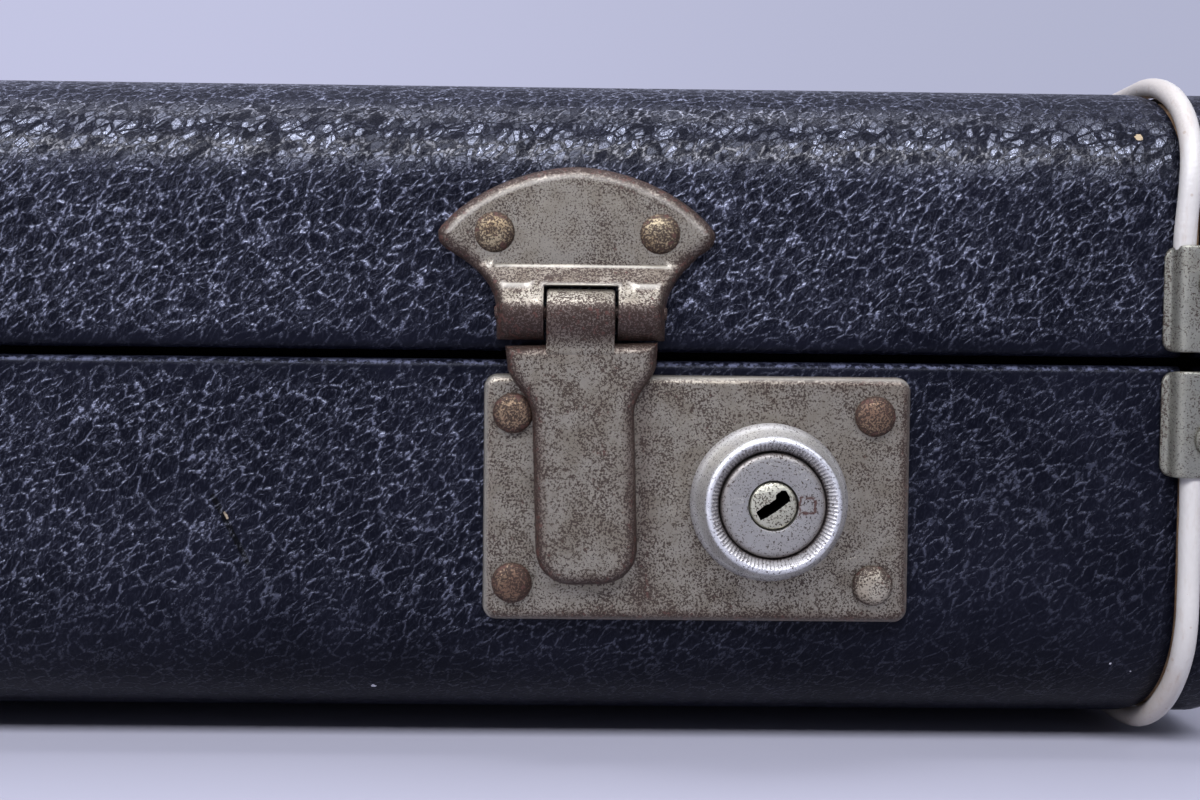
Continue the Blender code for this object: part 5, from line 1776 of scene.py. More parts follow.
@dataclass
class HaspBracket:
    """Fan-shaped bracket on the lid, stepped out at its neck and curled into two side knuckles.

    The neck holds heights over the axis and depths of the face, in millimetres.
    """

    place: LockPlace
    finish: PlatedMetal
    fan_shift: float = -0.75 * MM
    half_width: float = 21.4 * MM
    tip_up: float = 12.0 * MM
    top_up: float = 22.5 * MM
    neck_half: float = 12.9 * MM
    notch_half: float = 5.6 * MM
    notch_up: float = 4.05 * MM
    notch_round: float = 0.3 * MM
    flat: float = 2.2 * MM
    roll: float = 1.9 * MM
    sheet: float = 1.1 * MM
    floor: float = 0.3 * MM
    spacing: float = 1.1 * MM
    low: float = -4.1 * MM
    curl_back: float = 0.9 * MM
    folds: Point2 = (7.15 * MM, 4.2 * MM)
    soiled_slope: Point2 = (3.4 * MM, 7.1 * MM)
    pin_radius: float = 1.05 * MM
    pin_proud: float = 0.12 * MM
    pin_round: float = 0.25 * MM
    neck: tuple[Point2, ...] = (
        (7.45, 2.2), (7.15, 2.55), (6.8, 2.75), (4.5, 4.65), (4.2, 5.1), (3.4, 5.2), (2.6, 5.85),
        (1.7, 6.5), (0.8, 6.8), (-0.3, 6.85), (-1.3, 6.55), (-2.3, 5.95), (-3.1, 5.2), (-3.7, 4.3),
        (-4.1, 3.3))

    def branch(self, shift: float) -> list[Point2]:
        """Right-hand half of the outer line, with the fan moved along by a shift.

        Args:
            shift: how far the fan moves out.

        Returns:
            Points from the bottom up.
        """
        tip, neck, far = self.tip_up, self.neck_half, self.half_width + shift
        hip, corner = (far - 2.6 * MM, 9.0 * MM), (far - 0.1 * MM, tip + 0.3 * MM)
        line = [(neck, self.low), (neck, 0.0)]
        line += bezier((neck, 0.0), (neck + 0.1 * MM, 4.4 * MM), (neck + 3.2 * MM, 7.0 * MM), hip,
                       steps=9)[1:]
        line += bezier(hip, (far - 1.2 * MM, 9.9 * MM), (far, tip - 1.6 * MM), corner, steps=6)
        line += bezier(corner, (far - 0.2 * MM, tip + 1.6 * MM),
                       (far - 8.0 * MM, self.top_up - 0.6 * MM), (shift, self.top_up), steps=16)
        return line

    def outer(self) -> list[Point2]:
        """Outer line from the bottom of the right knuckle over the fan to the left one."""
        right, left = self.branch(self.fan_shift), self.branch(-self.fan_shift)
        return right + [(self.fan_shift, self.top_up)] + [(-x, z) for x, z in reversed(left)]

    def face(self, z: float) -> float:
        """Depth of the face at a height: the flat fan, the slope and the curl of the knuckles."""
        height = z / MM
        for (upper, near), (lower, far) in zip(self.neck, self.neck[1:]):
            if lower <= height <= upper:
                return (near + (far - near) * (upper - height) / (upper - lower)) * MM
        return self.flat if height > self.neck[0][0] else self.neck[-1][1] * MM

    def build(self) -> None:
        """Make the bracket in one pressed piece, and its pin."""
        place = self.place
        outer = self.outer()
        edge = distance_to(outer, closed=False)
        notch = [(-self.notch_half, self.low), (-self.notch_half, self.notch_up),
                 (self.notch_half, self.notch_up), (self.notch_half, self.low)]

        def depth(x: float, z: float) -> float:
            """Face with a rolled outer edge, softened along the notch."""
            face = self.face(z) + uneven(x * 150, z * 150, place.x * 5) * 0.05 * MM
            near = max(abs(x) - self.notch_half, z - self.notch_up)
            if 0 <= near < self.notch_round:
                face -= 0.22 * MM * (1 - near / self.notch_round) ** 2
            low = 0.45 * MM + (face - self.flat) * 0.25
            return rolled(face, self.roll, min(low, face), edge(x, z))

        def back(x: float, z: float) -> float:
            """Sheet behind the fan, full knuckles behind the curl."""
            share = held((self.notch_up + 2 * MM - z) / (2 * MM))
            hollow = max(depth(x, z) - self.sheet, self.floor)
            return hollow + (min(self.curl_back, hollow) - hollow) * share

        def tarnished(co: Vector) -> float:
            """Browner along the outer edge and over the slope by the notch; darker low on the knuckles,
            painted shade on their undersides.
            """
            x, z = co.x - place.hasp_x, co.z - place.hasp_z
            low, high = self.soiled_slope
            under = held((2.0 * MM - z) / (1.6 * MM))
            return max(rim_value(edge(x, z)), under, 0.38 * (low < z < high))

        def rubbed(co: Vector) -> float:
            """Painted highlight along the folds and inside the rolled upper edge, stronger on the left.
            """
            x, z = co.x - place.hasp_x, co.z - place.hasp_z
            inward = edge(x, z)
            fold = fading(min(abs(z - fold) for fold in self.folds), 0.3 * MM)
            rim = fading(abs(inward - 1.6 * MM), 0.4 * MM) * (z > self.tip_up)
            return max(fold * (inward > self.roll * 0.8), rim * (0.75 if x < 0 else 0.5))

        folds = tuple(z * MM for z, _ in self.neck[:-1])
        sheet = PressedSheet(f"{place.name}_fan", outer + notch, depth, self.sheet, self.floor,
                             self.spacing, folds=folds, back=back)
        fan = sheet.build(place.hasp_plane())
        mark_values(fan, edge=tarnished, bright=rubbed)
        dress(fan, self.finish, "lid", f"{place.name}_hasp_bracket")
        self.build_pin()

    def build_pin(self) -> None:
        """Make the hinge pin through the knuckles."""
        name = f"{self.place.name}_hasp_pin"
        low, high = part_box(name)
        middle = Vector((self.place.hasp_x, (low[1] + high[1]) / 2, self.place.hasp_z))
        reach, radius = self.neck_half + self.pin_proud, self.pin_radius
        half = [(radius, reach - self.pin_round), (radius * 0.8, reach), (0.0, reach)]
        profile = [(across, -along) for across, along in reversed(half)] + half
        item = turned(f"{self.place.name}_hinge_pin", profile, middle, (1, 0, 0), 20)
        mark_values(item, edge=constant(1.0))
        dress(item, self.finish, "lid", name)


@dataclass
class HaspArm:
    """Hasp arm with rolled edges, its centre knuckle and the catch behind it.

    The knuckle's section holds heights over the axis and depths, in millimetres.
    """

    place: LockPlace
    finish: PlatedMetal
    top: float = -4.7 * MM
    top_half: float = 11.6 * MM
    half: float = 7.75 * MM
    length: float = 41.4 * MM
    shoulder: float = -7.6 * MM
    waist: float = -15.2 * MM
    foot: float = -38.0 * MM
    lean: float = math.radians(1.9)
    front: float = 5.35 * MM
    roll: float = 1.7 * MM
    drop: float = 2.1 * MM
    sheet: float = 1.3 * MM
    floor: float = 2.6 * MM
    spacing: float = 1.4 * MM
    axis_out: float = 3.7 * MM
    knuckle_half: float = 5.15 * MM
    knuckle_round: float = 0.4 * MM
    catch_half: Point2 = (4.0 * MM, 1.7 * MM)
    catch_depths: Point2 = (4.4 * MM, 0.6 * MM)
    knuckle_section: tuple[Point2, ...] = (
        (-6.4, 5.34), (-5.2, 5.42), (-4.1, 5.75), (-3.0, 6.25), (-1.8, 6.75), (-0.4, 7.0), (1.0, 6.9),
        (2.2, 6.35), (3.1, 5.45), (3.55, 4.4), (3.6, 3.5), (3.3, 2.3), (2.5, 1.2), (1.3, 0.5),
        (0.0, 0.25), (-1.3, 0.5), (-2.4, 1.3), (-3.1, 2.4), (-4.0, 3.5), (-6.4, 4.1))

    def outline(self) -> list[Point2]:
        """Wide top, curved shoulders, long parallel sides and a shallow rounded end."""
        end, half, top = -self.length, self.half, self.top_half
        right = bezier((2.0 * MM, end), (5.4 * MM, end + 0.1 * MM), (half - 1.0 * MM, end + 2.0 * MM),
                       (half - 0.2 * MM, self.foot + 0.3 * MM), steps=10)
        right += [(half, self.foot + 1.6 * MM)]
        right += bezier((half, self.waist), (half + 0.5 * MM, self.waist + 3.6 * MM),
                        (top - 0.9 * MM, self.shoulder - 3.4 * MM), (top - 0.1 * MM, self.shoulder),
                        steps=12)
        right += [(top, self.top)]
        turn, run = math.sin(self.lean), math.cos(self.lean)
        return [(x * run - z * turn, z * run + x * turn)
                for x, z in right + [(-x, z) for x, z in reversed(right)]]

    def knuckle(self) -> Item:
        """Centre knuckle that flows down into the arm."""
        section = smooth_loop([(z * MM, out * MM) for z, out in self.knuckle_section], 3)
        plane = self.place.hasp_plane()
        half, soft = self.knuckle_half, self.knuckle_round
        ends = ((half - soft, 0.0), (half - soft * 0.3, soft * 0.35), (half, soft))
        rings = []
        for x, shrink in [(-x, shrink) for x, shrink in reversed(ends)] + list(ends):
            ring = []
            for z, out in section:
                offset = Vector((z, out - self.axis_out))
                scale = max(0.0, 1.0 - shrink / max(offset.length, TINY))
                ring.append(plane.at(x, offset.x * scale, self.axis_out + offset.y * scale))
            rings.append(ring)
        return loft("knuckle", rings)

    def soiled(self, co: Vector) -> float:
        """Painted shade on the knuckle's belly, below its axis."""
        up = (co.z - self.place.hasp_z) / MM
        return 0.85 * held((2.0 - up) / 1.4) * held((up + 5.4) / 2.2)

    def build(self) -> None:
        """Make the arm."""
        place = self.place
        outline = self.outline()
        away = distance_to(outline)

        def depth(x: float, z: float) -> float:
            """Flat face with rolled edges and slight dents."""
            dent = uneven(x * 140, z * 110, place.x * 3 + 4) * 0.06 * MM
            return rolled(self.front, self.roll, self.front - self.drop, away(x, z)) + dent

        sheet = PressedSheet(f"{place.name}_arm", outline, depth, self.sheet, self.floor, self.spacing)
        arm = sheet.build(place.hasp_plane())
        knuckle = self.knuckle()
        # The knuckle's belly is darkened as painted shade.
        mark_values(knuckle, edge=self.soiled)
        catch = place.block("catch", place.catch(), self.catch_half, self.catch_depths)
        mark_values(catch, edge=constant(0.3))
        joined(arm, knuckle, catch)
        dress(arm, self.finish, f"{place.name}_hasp", f"{place.name}_hasp")


@dataclass
class SlideKnob:
    """Sliding knob: a flange, a bright rim with a fluted inner slope, and a round face."""

    place: LockPlace
    finish: PlatedMetal
    face: PlatedMetal
    base_depth: float = 2.35 * MM
    base_radius: float = 12.15 * MM
    rim_radius: float = 10.3 * MM
    slope_radius: float = 8.2 * MM
    slope_play: float = 0.05 * MM
    bore: float = 3.75 * MM
    play: float = 0.1 * MM
    plain_bore: float = 1.0 * MM
    rise: float = 5.8 * MM
    slope_drop: float = 1.4 * MM
    floor: float = 1.9 * MM
    flutes: int = 96
    flute_depth: float = 0.16 * MM
    flute_shares: tuple[float, ...] = (0.35, 1.0, 1.0, 0.8)
    first_fluted: int = 12
    steps_per_flute: int = 6
    face_radius: float = 7.95 * MM
    face_drop: float = 0.7 * MM
    face_lift: float = 0.15 * MM

    def base(self) -> Vector:
        """Point on the plate's face where the knob's height is zero."""
        return Vector((self.place.knob_x, self.place.face - self.base_depth, self.place.knob_z))

    def ring_profile(self, inner: float) -> list[Point2]:
        """Section of the ring, anticlockwise from the inside of its base.

        Args:
            inner: radius of the ring's hole.

        Returns:
            Points of radius and height.
        """
        base, rim, rise = self.base_radius, self.rim_radius, self.rise
        slope = self.slope_radius - self.slope_play
        flange = ((-0.3, 0.0), (0.0, 0.25), (-0.15, 0.65), (-0.6, 1.15))
        wall = ((0.75, 2.3), (0.4, 3.6))
        crest = ((0.2, 1.1), (0.05, 0.55), (-0.2, 0.18), (-0.5, 0.02), (-0.75, 0.0), (-0.95, 0.1),
                 (-1.35, 0.5), (-1.75, 0.95))
        foot = [(self.slope_radius, rise - self.slope_drop), (slope, rise - self.slope_drop - 0.3 * MM),
                (slope, self.floor), (inner, self.floor)]
        return [(inner, 0.0), *((base + across * MM, up * MM) for across, up in flange),
                *((rim + across * MM, up * MM) for across, up in wall),
                *((rim + across * MM, rise - drop * MM) for across, drop in crest), *foot]

    def build_ring(self, inner: float) -> Item:
        """Turn the ring with its flutes.

        Args:
            inner: radius of the ring's hole.

        Returns:
            The new object.
        """

        def wave(number: int, turn: float) -> float:
            """Flutes on the inner slope."""
            step = number - self.first_fluted
            share = self.flute_shares[step] if 0 <= step < len(self.flute_shares) else 0.0
            return share * self.flute_depth * math.cos(turn * self.flutes)

        def soiled(co: Vector) -> float:
            """Painted shade in the gap at the flutes' foot; darker on the fluted slope and round the
            base.
            """
            radius = math.hypot(co.x - self.place.knob_x, co.z - self.place.knob_z)
            if radius < self.slope_radius + self.play:
                return 1.0
            fluted = radius < self.rim_radius - 0.9 * MM
            return 0.42 if fluted else 0.5 if radius > self.base_radius - 0.5 * MM else 0.0

        sides = self.flutes * self.steps_per_flute
        ring = turned(f"{self.place.name}_ring", self.ring_profile(inner), self.base(), OUT_OF_FRONT,
                      sides, wave)
        mark_values(ring, edge=soiled)
        return ring

    def build_face(self, inner: float) -> Item:
        """Turn the round inner face, bored unless its inner radius is zero.

        Args:
            inner: radius of the bore, or zero.

        Returns:
            The new object.
        """
        top, edge, low = self.rise - self.face_drop, self.face_radius, self.floor + self.face_lift
        bevel = ((0.0, 1.3), (0.06, 0.6), (0.25, 0.25), (0.60, 0.06), (1.1, 0.0))
        profile = [(inner, low), (edge - 0.1 * MM, low), (edge, low + 0.2 * MM)]
        profile += [(edge - across * MM, top - drop * MM) for across, drop in bevel]
        profile += [(edge * 0.62, top + 0.02 * MM)]
        bored = [(inner + across * MM, top - drop * MM)
                 for across, drop in ((0.35, 0.0), (0.08, 0.08), (0.0, 0.3))]
        profile += bored if inner else [(0.0, top)]
        base = self.base()
        face = turned(f"{self.place.name}_face", profile, base, OUT_OF_FRONT, 96)
        inside = edge - 0.9 * MM
        mark_values(face, edge=lambda co: max(0.0, ((co - base).xz.length - inside) / (1.2 * MM)))
        return face

    def build_keyed(self) -> None:
        """Make the right lock's knob, bored for its turning plug."""
        dress(self.build_ring(self.bore + self.play), self.finish, "right_slide", "right_slide_ring")
        dress(self.build_face(self.bore), self.face, "right_slide", "right_knob_face")

    def build_plain(self) -> None:
        """Make the left latch's knob in one piece."""
        ring = self.build_ring(self.plain_bore)
        joined(ring, self.build_face(0.0))
        dress(ring, self.finish, "left_slide", "left_slide_knob")


@dataclass
class KeyPlug:
    """Worn round plug with a stepped key slot, its outline in millimetres."""

    place: LockPlace
    finish: PlatedMetal
    # Near-black finish of the slot's walls, standing in as painted shade.
    bore: MouldedGrip
    radius: float = 3.6 * MM
    front: float = 7.3 * MM
    behind: float = 3.0 * MM
    crown: float = 0.02 * MM
    slot_depth: float = 8.5 * MM
    slot_turn: float = math.radians(34)
    slot: tuple[Point2, ...] = (
        (-2.8, -0.75), (-1.6, -0.9), (0.4, -0.9), (2.5, -0.75), (2.75, -0.2), (2.8, 0.9), (2.3, 1.25),
        (1.2, 1.2), (0.8, 0.65), (-0.4, 0.6), (-0.8, 0.8), (-2.7, 0.65))

    def in_slot(self, polygon: bpy.types.MeshPolygon) -> bool:
        """Whether a face is a wall or the floor of the slot."""
        away = math.hypot(polygon.center.x - self.place.knob_x, polygon.center.z - self.place.knob_z)
        sunk = polygon.center.y > self.place.face - self.front + MM
        return away < self.radius - 0.3 * MM and (abs(polygon.normal.y) < 0.5 or sunk)

    def build(self) -> None:
        """Make the plug and cut its slot."""
        place, edge, top = self.place, self.radius, self.front + self.behind
        base = Vector((place.knob_x, place.face + self.behind, place.knob_z))
        profile = [(0.0, 0.0), (edge, 0.0), (edge, top - 0.5 * MM), (edge - 0.12 * MM, top - 0.2 * MM),
                   (edge - 0.4 * MM, top), (edge * 0.5, top + self.crown), (0.0, top + self.crown)]
        plug = turned("plug", profile, base, OUT_OF_FRONT, 64)
        turn, run = math.sin(self.slot_turn), math.cos(self.slot_turn)
        rings = [[Vector((place.knob_x + (x * run - z * turn) * MM, place.face - out,
                          place.knob_z + (z * run + x * turn) * MM)) for x, z in self.slot]
                 for out in (self.front - self.slot_depth, self.front + 2 * MM)]
        cut(plug, loft("slot", rings))
        mark_values(plug, edge=constant(0.0))
        dress(plug, self.finish, "key_plug", "key_plug")
        # The slot's walls and floor take the near-black finish: painted shade inside the slot.
        plug.data.materials.append(self.bore.material())
        for polygon in plug.data.polygons:
            if self.in_slot(polygon):
                polygon.material_index = 1


@dataclass
class Locks:
    """Both locks on the front, with the rivets of the right one."""

    nickel: PlatedMetal
    knob: PlatedMetal
    face: PlatedMetal
    rivet: PlatedMetal
    brass: PlatedMetal
    worn: PlatedMetal
    plug: PlatedMetal
    slot: MouldedGrip
    rivet_sunk: float = 1.5 * MM
    plate_shift: float = -0.6 * MM
    fan_shift: float = -1.2 * MM
    plate_head: RivetHead = RivetHead(tilt=0.1 * MM)
    fan_head: RivetHead = RivetHead(3.15 * MM, 1.5 * MM, 0.1 * MM)
    pale_rivet: Point2 = (450 * MM, 40 * MM)

    def seat(self, node: str, shift: float) -> Vector:
        """Middle of a rivet head's underside."""
        low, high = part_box(node)
        x, z = (low[0] + high[0]) / 2, (low[2] + high[2]) / 2
        return Vector((x + shift, low[1] + self.rivet_sunk, z))

    def build(self) -> None:
        """Make each lock, then the rivets; the one low on the right is worn pale."""
        for name in ("right", "left"):
            place = LockPlace.of(name)
            LockPlate(place, self.nickel).build()
            HaspBracket(place, self.nickel).build()
            HaspArm(place, self.nickel).build()
            slide = SlideKnob(place, self.knob, self.face)
            if name == "right":
                slide.build_keyed()
                KeyPlug(place, self.plug, self.slot).build()
            else:
                slide.build_plain()
        for number in range(1, 5):
            node = f"lock_rivet_{number}"
            seat = self.seat(node, self.plate_shift)
            head = self.plate_head.build(f"plate_rivet_{number}", seat, OUT_OF_FRONT)
            pale = seat.x > self.pale_rivet[0] and seat.z < self.pale_rivet[1]
            dress(head, self.worn if pale else self.rivet, "body", node)
        for number in (1, 2):
            node = f"hasp_rivet_{number}"
            seat = self.seat(node, self.fan_shift)
            head = self.fan_head.build(f"fan_rivet_{number}", seat, OUT_OF_FRONT)
            dress(head, self.brass, "lid", node)


# Inside


def tray_loop(half_x: float, half_y: float, radius: float,
              along: int = 84, across: int = 26) -> list[Point2]:
    """Rounded rectangle with its straight sides cut into equal parts, anticlockwise.

    Args:
        half_x: half its length.
        half_y: half its width.
        radius: radius of its corners.
        along: parts of each long side.
        across: parts of each short side.

    Returns:
        Points of the loop.
    """
    corners = rounded_box(half_x, half_y, radius, 5)
    size = len(corners) // 4
    result = []
    for quarter in range(4):
        result += corners[quarter * size:(quarter + 1) * size]
        (ax, ay), (bx, by) = result[-1], corners[((quarter + 1) % 4) * size]
        parts = across if quarter % 2 else along
        result += [(ax + (bx - ax) * step / parts, ay + (by - ay) * step / parts)
                   for step in range(1, parts)]
    return result


@dataclass
class PlushTray:
    """Padded plush glued over the inside of one half, open towards the rim."""

    shell: Shell
    finish: Plush
    thickness: float = 2.0 * MM
    bend: float = 8.5 * MM
    lip: float = 1.0 * MM
    puff: float = 1.1 * MM
    corner: float = 4.0 * MM
    sag: float = 0.35 * MM
    floor_step: float = 11.0 * MM
    floor_middle: float = 6.0 * MM

    def heights(self, tall: float) -> list[Point2]:
        """Inset and height of each ring, from under the floor over the lip to the floor's edge.

        Args:
            tall: height of the tray.

        Returns:
            Points of inset and height.
        """
        bend, top = self.bend + self.thickness, tall - self.lip
        line = [(bend - bend * math.sin(turn), bend - bend * math.cos(turn))
                for turn in frange(0, QUARTER, QUARTER / 5)]
        line += [(0.0, height) for height in frange(bend, top, (top - bend) / 3)[1:]]
        line += [(self.lip - self.lip * math.cos(turn), top + self.lip * math.sin(turn))
                 for turn in frange(0, 2 * QUARTER, QUARTER / 3)[1:]]
        wall = top - bend
        line += [(self.thickness + self.puff * math.sin(math.pi * (height - bend) / wall), height)
                 for height in frange(top, bend, wall / 6)[1:]]
        line += [(self.thickness + self.bend * (1 - math.cos(turn)), bend - self.bend * math.sin(turn))
                 for turn in frange(0, QUARTER, QUARTER / 6)[1:]]
        return line

    def build(self) -> None:
        shell = self.shell
        node = f"{shell.name}_lining"
        low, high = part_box(node)
        centre, half_x, half_y = (low[1] + high[1]) / 2, (high[0] - low[0]) / 2, (high[1] - low[1]) / 2
        foot = low[2] if shell.up > 0 else high[2]
        line = self.heights(high[2] - low[2])
        floor = frange(line[-1][0], half_y - self.floor_middle, self.floor_step)[1:]
        line += [(inset, self.thickness) for inset in floor]
        rings = []
        for number, (inset, height) in enumerate(line):
            radius = max(self.corner - inset, 1.5 * MM) + (inset > self.thickness) * 2 * MM
            inward = number > len(line) // 2
            ring = []
            for x, y in tray_loop(half_x - inset, half_y - inset, radius):
                sag = self.sag * (uneven(x * 16, y * 16, shell.rim * 40) - 0.5) if inward else 0.0
                ring.append(Vector((x, centre + y, foot + shell.up * (height + sag))))
            rings.append(ring)
        tray = loft(f"{shell.name}_plush_lining", rings)
        dress(tray, self.finish, shell.name, node)


@dataclass
class PaddedBlock:
    """Foam block under plush, swollen a little as cloth, with crowned faces and round corners."""

    node: str
    body: str
    finish: Plush
    crown: float = 1.6 * MM
    voxel: float = 3.5 * MM
    pressure: float = 4.0
    frames: int = 14
    shrink: float = 1.0 * MM
    cap: float = 4.0 * MM
    fill: float = 0.9

    def build(self) -> None:
        """Remesh the block's outline, swell it and smooth it."""
        low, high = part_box(self.node)
        middle = (low + high) / 2
        mesh = bpy.data.meshes.new_from_object(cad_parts[self.node])
        for vertex in mesh.vertices:
            for axis in range(3):
                size = 1 - self.shrink / ((high[axis] - low[axis]) / 2)
                vertex.co[axis] = middle[axis] + (vertex.co[axis] - middle[axis]) * size
        item = placed(f"{self.node}_plush", mesh)
        remesh = item.modifiers.new("skin", "REMESH")
        remesh.mode = "VOXEL"
        remesh.voxel_size = self.voxel
        keep_modified(item)
        if self.pressure:
            self.swell(item)
        smooth = item.modifiers.new("soften", "SMOOTH")
        smooth.factor = 0.5
        smooth.iterations = 3
        keep_modified(item)
        for vertex in item.data.vertices:
            for axis in range(3):
                top = high[axis] + (self.crown if axis == 2 else 0.0)
                vertex.co[axis] = held(vertex.co[axis], low[axis], top)
        item.data.shade_smooth()
        dress(item, self.finish, self.body, self.node)

    def swell(self, item: Item) -> None:
        """Run the cloth under pressure and keep its shape, capped.

        Args:
            item: the cloth, closed round its block.
        """
        rest = [vertex.co.copy() for vertex in item.data.vertices]
        cloth = item.modifiers.new("cloth", "CLOTH")
        cloth.settings.quality = 4
        cloth.settings.use_pressure = True
        cloth.settings.uniform_pressure_force = self.pressure
        cloth.settings.effector_weights.gravity = 0
        cloth.collision_settings.use_collision = False
        cloth.point_cache.frame_end = self.frames
        for number in range(1, self.frames + 1):
            bpy.context.scene.frame_set(number)
        keep_modified(item)
        bpy.context.scene.frame_set(1)
        for vertex, start in zip(item.data.vertices, rest):
            moved = vertex.co - start
            if moved.length > self.cap:
                vertex.co = start + moved * (self.cap / moved.length)


def build_inside(body: Shell, lid: Shell, plush: Plush) -> None:
    """Linings, blocks and the accessory box.

    Args:
        body: shell of the body.
        lid: shell of the lid.
        plush: finish of the cloth.
    """
    PlushTray(body, plush).build()
    PlushTray(lid, plush, bend=6.5 * MM).build()
    PaddedBlock("neck_rest", "body", plush).build()
    PaddedBlock("neck_side_block", "body", plush).build()
    fine = 2.2 * MM
    PaddedBlock("accessory_lid", "accessory_lid", plush, 0.8 * MM, fine, shrink=0.3 * MM,
                cap=1.2 * MM).build()
    PaddedBlock("accessory_box", "body", plush, 0.0, fine, shrink=0.0, pressure=0.0).build()


# Studio and whole case


@dataclass(frozen=True)
class Lamp:
    """Rectangular soft light aimed straight in at the front of the case."""

    name: str
    place: Colour
    size: Point2
    watts: float
    colour: Colour = (0.90, 0.91, 1.0)
    aim: Point2 = (-0.16, 0.06)

    def build(self) -> None:
        """Hang the lamp."""
        light = bpy.data.lights.new(self.name, "AREA")
        light.shape = "RECTANGLE"
        light.size, light.size_y = self.size
        light.energy = self.watts
        light.color = self.colour
        item = placed(self.name, light)
        item.location = self.place
        target = Vector((self.place[0], *self.aim))
        item.rotation_euler = (target - Vector(self.place)).to_track_quat("-Z", "Y").to_euler()


@dataclass(frozen=True)
class Studio:
    """Pale table, soft key from the front, and the camera of the photograph."""

    floor: Colour = (0.378, 0.378, 0.444)
    floor_rough: float = 0.55
    floor_half: float = 6.0
    sky: Colour = (0.550, 0.563, 0.765)
    sky_right: Colour = (0.445, 0.462, 0.620)
    sky_span: Point2 = (-0.45, 0.50)
    ambient: float = 0.22
    eye: Colour = (0.41315, -0.35055, 0.06232)
    yaw: float = 0.0113
    pitch: float = 0.0322
    roll: float = 0.0106
    lens: float = 36.492
    lamps: tuple[Lamp, ...] = (Lamp("key", (-0.10, -0.80, 0.82), (2.10, 0.30), 27.0),
                               Lamp("top", (0.30, -0.12, 1.60), (1.4, 0.5), 13.0),
                               Lamp("right_fill", (1.6, -0.5, 0.7), (0.8, 0.8), 2.0))

    def build(self) -> None:
        """Set the table, the sky, the lights and the camera."""
        bpy.context.scene.view_settings.view_transform = "Standard"
        self.build_floor()
        self.build_sky()
        for lamp in self.lamps:
            lamp.build()
        self.build_camera()

    def build_floor(self) -> None:
        """Wide pale table."""
        data = bmesh.new()
        bmesh.ops.create_grid(data, x_segments=1, y_segments=1, size=self.floor_half)
        mesh = bpy.data.meshes.new("table")
        data.to_mesh(mesh)
        data.free()
        material = bpy.data.materials.new("table")
        material.use_nodes = True
        shader = material.node_tree.nodes["Principled BSDF"]
        shader.inputs["Base Color"].default_value = (*self.floor, 1)
        shader.inputs["Roughness"].default_value = self.floor_rough
        mesh.materials.append(material)
        placed("table", mesh)

    def build_sky(self) -> None:
        """World that shows pale to the camera and lights the case softly."""
        world = bpy.data.worlds.new("studio")
        bpy.context.scene.world = world
        world.use_nodes = True
        wiring = Wiring(world.node_tree)
        backdrop = world.node_tree.nodes["Background"]
        across = wiring.signal("ShaderNodeTexCoord", {}, "Generated").part("X")
        colour = mix(across.remap(*self.sky_span), self.sky, self.sky_right)
        wiring.feed(backdrop.inputs["Color"], colour)
        camera, glossy, through = (wiring.signal("ShaderNodeLightPath", {}, ray)
                                   for ray in ("Is Camera Ray", "Is Glossy Ray", "Is Transmission Ray"))
        seen = camera.most(glossy).most(through)
        wiring.feed(backdrop.inputs["Strength"], seen.remap(0.0, 1.0, self.ambient, 1.0, "LINEAR"))

    def build_camera(self) -> None:
        """Camera at the photograph's view."""
        level = math.cos(self.pitch)
        ahead = Vector((math.sin(self.yaw), math.cos(self.yaw), 0)) * level
        forward = ahead - Vector((0, 0, math.sin(self.pitch)))
        right = Vector((math.cos(self.yaw), -math.sin(self.yaw), 0))
        up = right.cross(forward)
        right, up = (right * math.cos(self.roll) + up * math.sin(self.roll),
                     up * math.cos(self.roll) - right * math.sin(self.roll))
        data = bpy.data.cameras.new("view")
        data.lens = self.lens
        data.clip_start = 0.01
        camera = placed("view", data)
        turn = Matrix((right, up, -forward)).transposed().to_4x4()
        camera.matrix_world = Matrix.Translation(self.eye) @ turn
        bpy.context.scene.camera = camera


DENTED_GRIT = 0.12 * MM
TAN, WHITE = (0.42, 0.33, 0.21), (0.5, 0.5, 0.55)
MARKS = (
    Mark((499.3, -159.7, 98.2), 0.75, TAN),
    Mark((379.4, -156.1, 9.6), 0.5, (0.55, 0.55, 0.6)),
    Mark((496.7, -160.0, 15.1), 0.32, WHITE),
    Mark((500.3, -159.3, 13.7), 0.30, WHITE),
    Mark((355.6, -162.4, 40.7), 0.55, (0.0010, 0.0010, 0.0014), (5.3, 0.0, -10.1)),
    Mark((357.4, -162.4, 38.2), 0.28, (0.30, 0.24, 0.17), (0.4, 0.0, -0.8)),
)


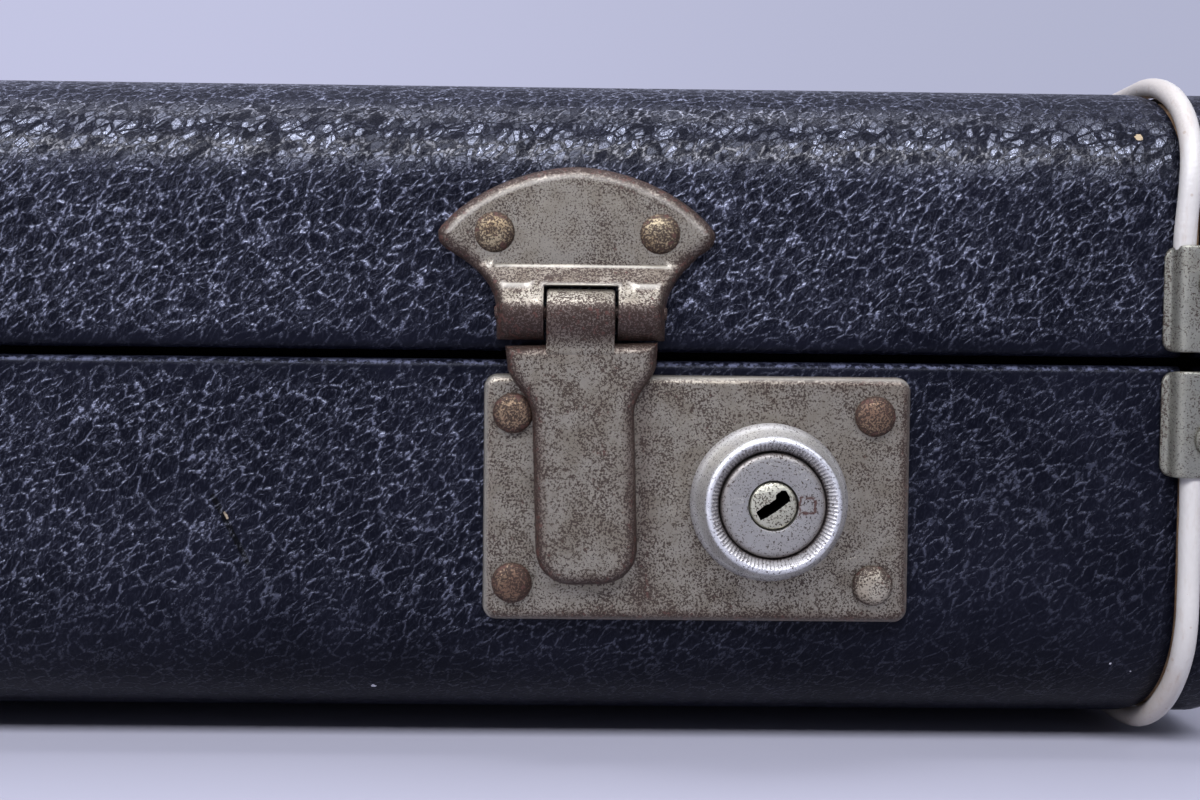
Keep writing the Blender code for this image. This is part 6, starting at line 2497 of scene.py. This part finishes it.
def main() -> None:
    """Build the case and its studio."""
    logging.basicConfig(level=logging.INFO, format="%(name)s: %(message)s")
    body, lid = Shell.of("body", 22 * MM), Shell.of("lid", 20 * MM)
    cloth = Leathercloth("leathercloth_front", Slot.CLOTH, marks=MARKS)
    ends = Leathercloth("leathercloth_ends", Slot.CLOTH)
    vinyl = PipingVinyl("piping_vinyl_aged", Slot.PIPING)
    nickel = PlatedMetal("nickel_aged", Slot.NICKEL)
    satin = PlatedMetal("satin_clip", Slot.SATIN, clean=(0.285, 0.285, 0.235),
                        dull=(0.245, 0.24, 0.195), rim=(0.150, 0.150, 0.120), amount=0.80)
    knob = PlatedMetal("satin_knob", Slot.SATIN, clean=(0.76, 0.76, 0.74), dull=(0.68, 0.68, 0.66),
                       amount=0.62)
    disc = PlatedMetal("satin_face", Slot.SATIN, clean=(0.37, 0.36, 0.33), dull=(0.325, 0.315, 0.29),
                       amount=0.64, tab=(446.4, 41.0, 1.15))
    rivet = PlatedMetal("rivet_brown", Slot.NICKEL, clean=(0.30, 0.215, 0.135),
                        dull=(0.17, 0.105, 0.070), amount=1.25, grit=DENTED_GRIT)
    brass = PlatedMetal("rivet_brass", Slot.NICKEL, clean=(0.42, 0.35, 0.22), dull=(0.28, 0.20, 0.11),
                        amount=1.25, grit=DENTED_GRIT)
    worn = PlatedMetal("rivet_worn", Slot.NICKEL, clean=(0.50, 0.46, 0.36), dull=(0.36, 0.31, 0.23),
                       amount=1.05, grit=DENTED_GRIT)
    plug = PlatedMetal("plug_worn", Slot.NICKEL, clean=(0.52, 0.51, 0.40), dull=(0.42, 0.41, 0.32),
                       amount=0.82, grit=DENTED_GRIT)
    # Near-black finish used as painted shade: the joint strip and the key slot's walls.
    joint_shade = MouldedGrip("joint_rubber", Slot.HANDLE, (0.002, 0.002, 0.002), (0.003, 0.003, 0.003), 0.0)
    for shell in (body, lid):
        Covering(shell, cloth, ends).build()
        Piping(shell, vinyl).build()
        for side in Side:
            for face in Face:
                BeadClip(shell, side, face, satin).build()
    DustStrip(body, lid, joint_shade).build()
    Locks(nickel, knob, disc, rivet, brass, worn, plug, joint_shade).build()
    wood = BareWood("plywood_pale", Slot.WOOD)
    finish_cad(("body_frame", "lid_frame", "bottom_panel", "top_panel"), wood)
    build_inside(body, lid, Plush("plush_red", Slot.PLUSH))
    finish_cad(("handle_grip",), MouldedGrip("handle_grain", Slot.HANDLE))
    metal = ("hinge", "lock_b", "handle_bracket")
    finish_cad([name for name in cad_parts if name.startswith(metal)], nickel)
    Studio().build()


if __name__ == "__main__":
    main()
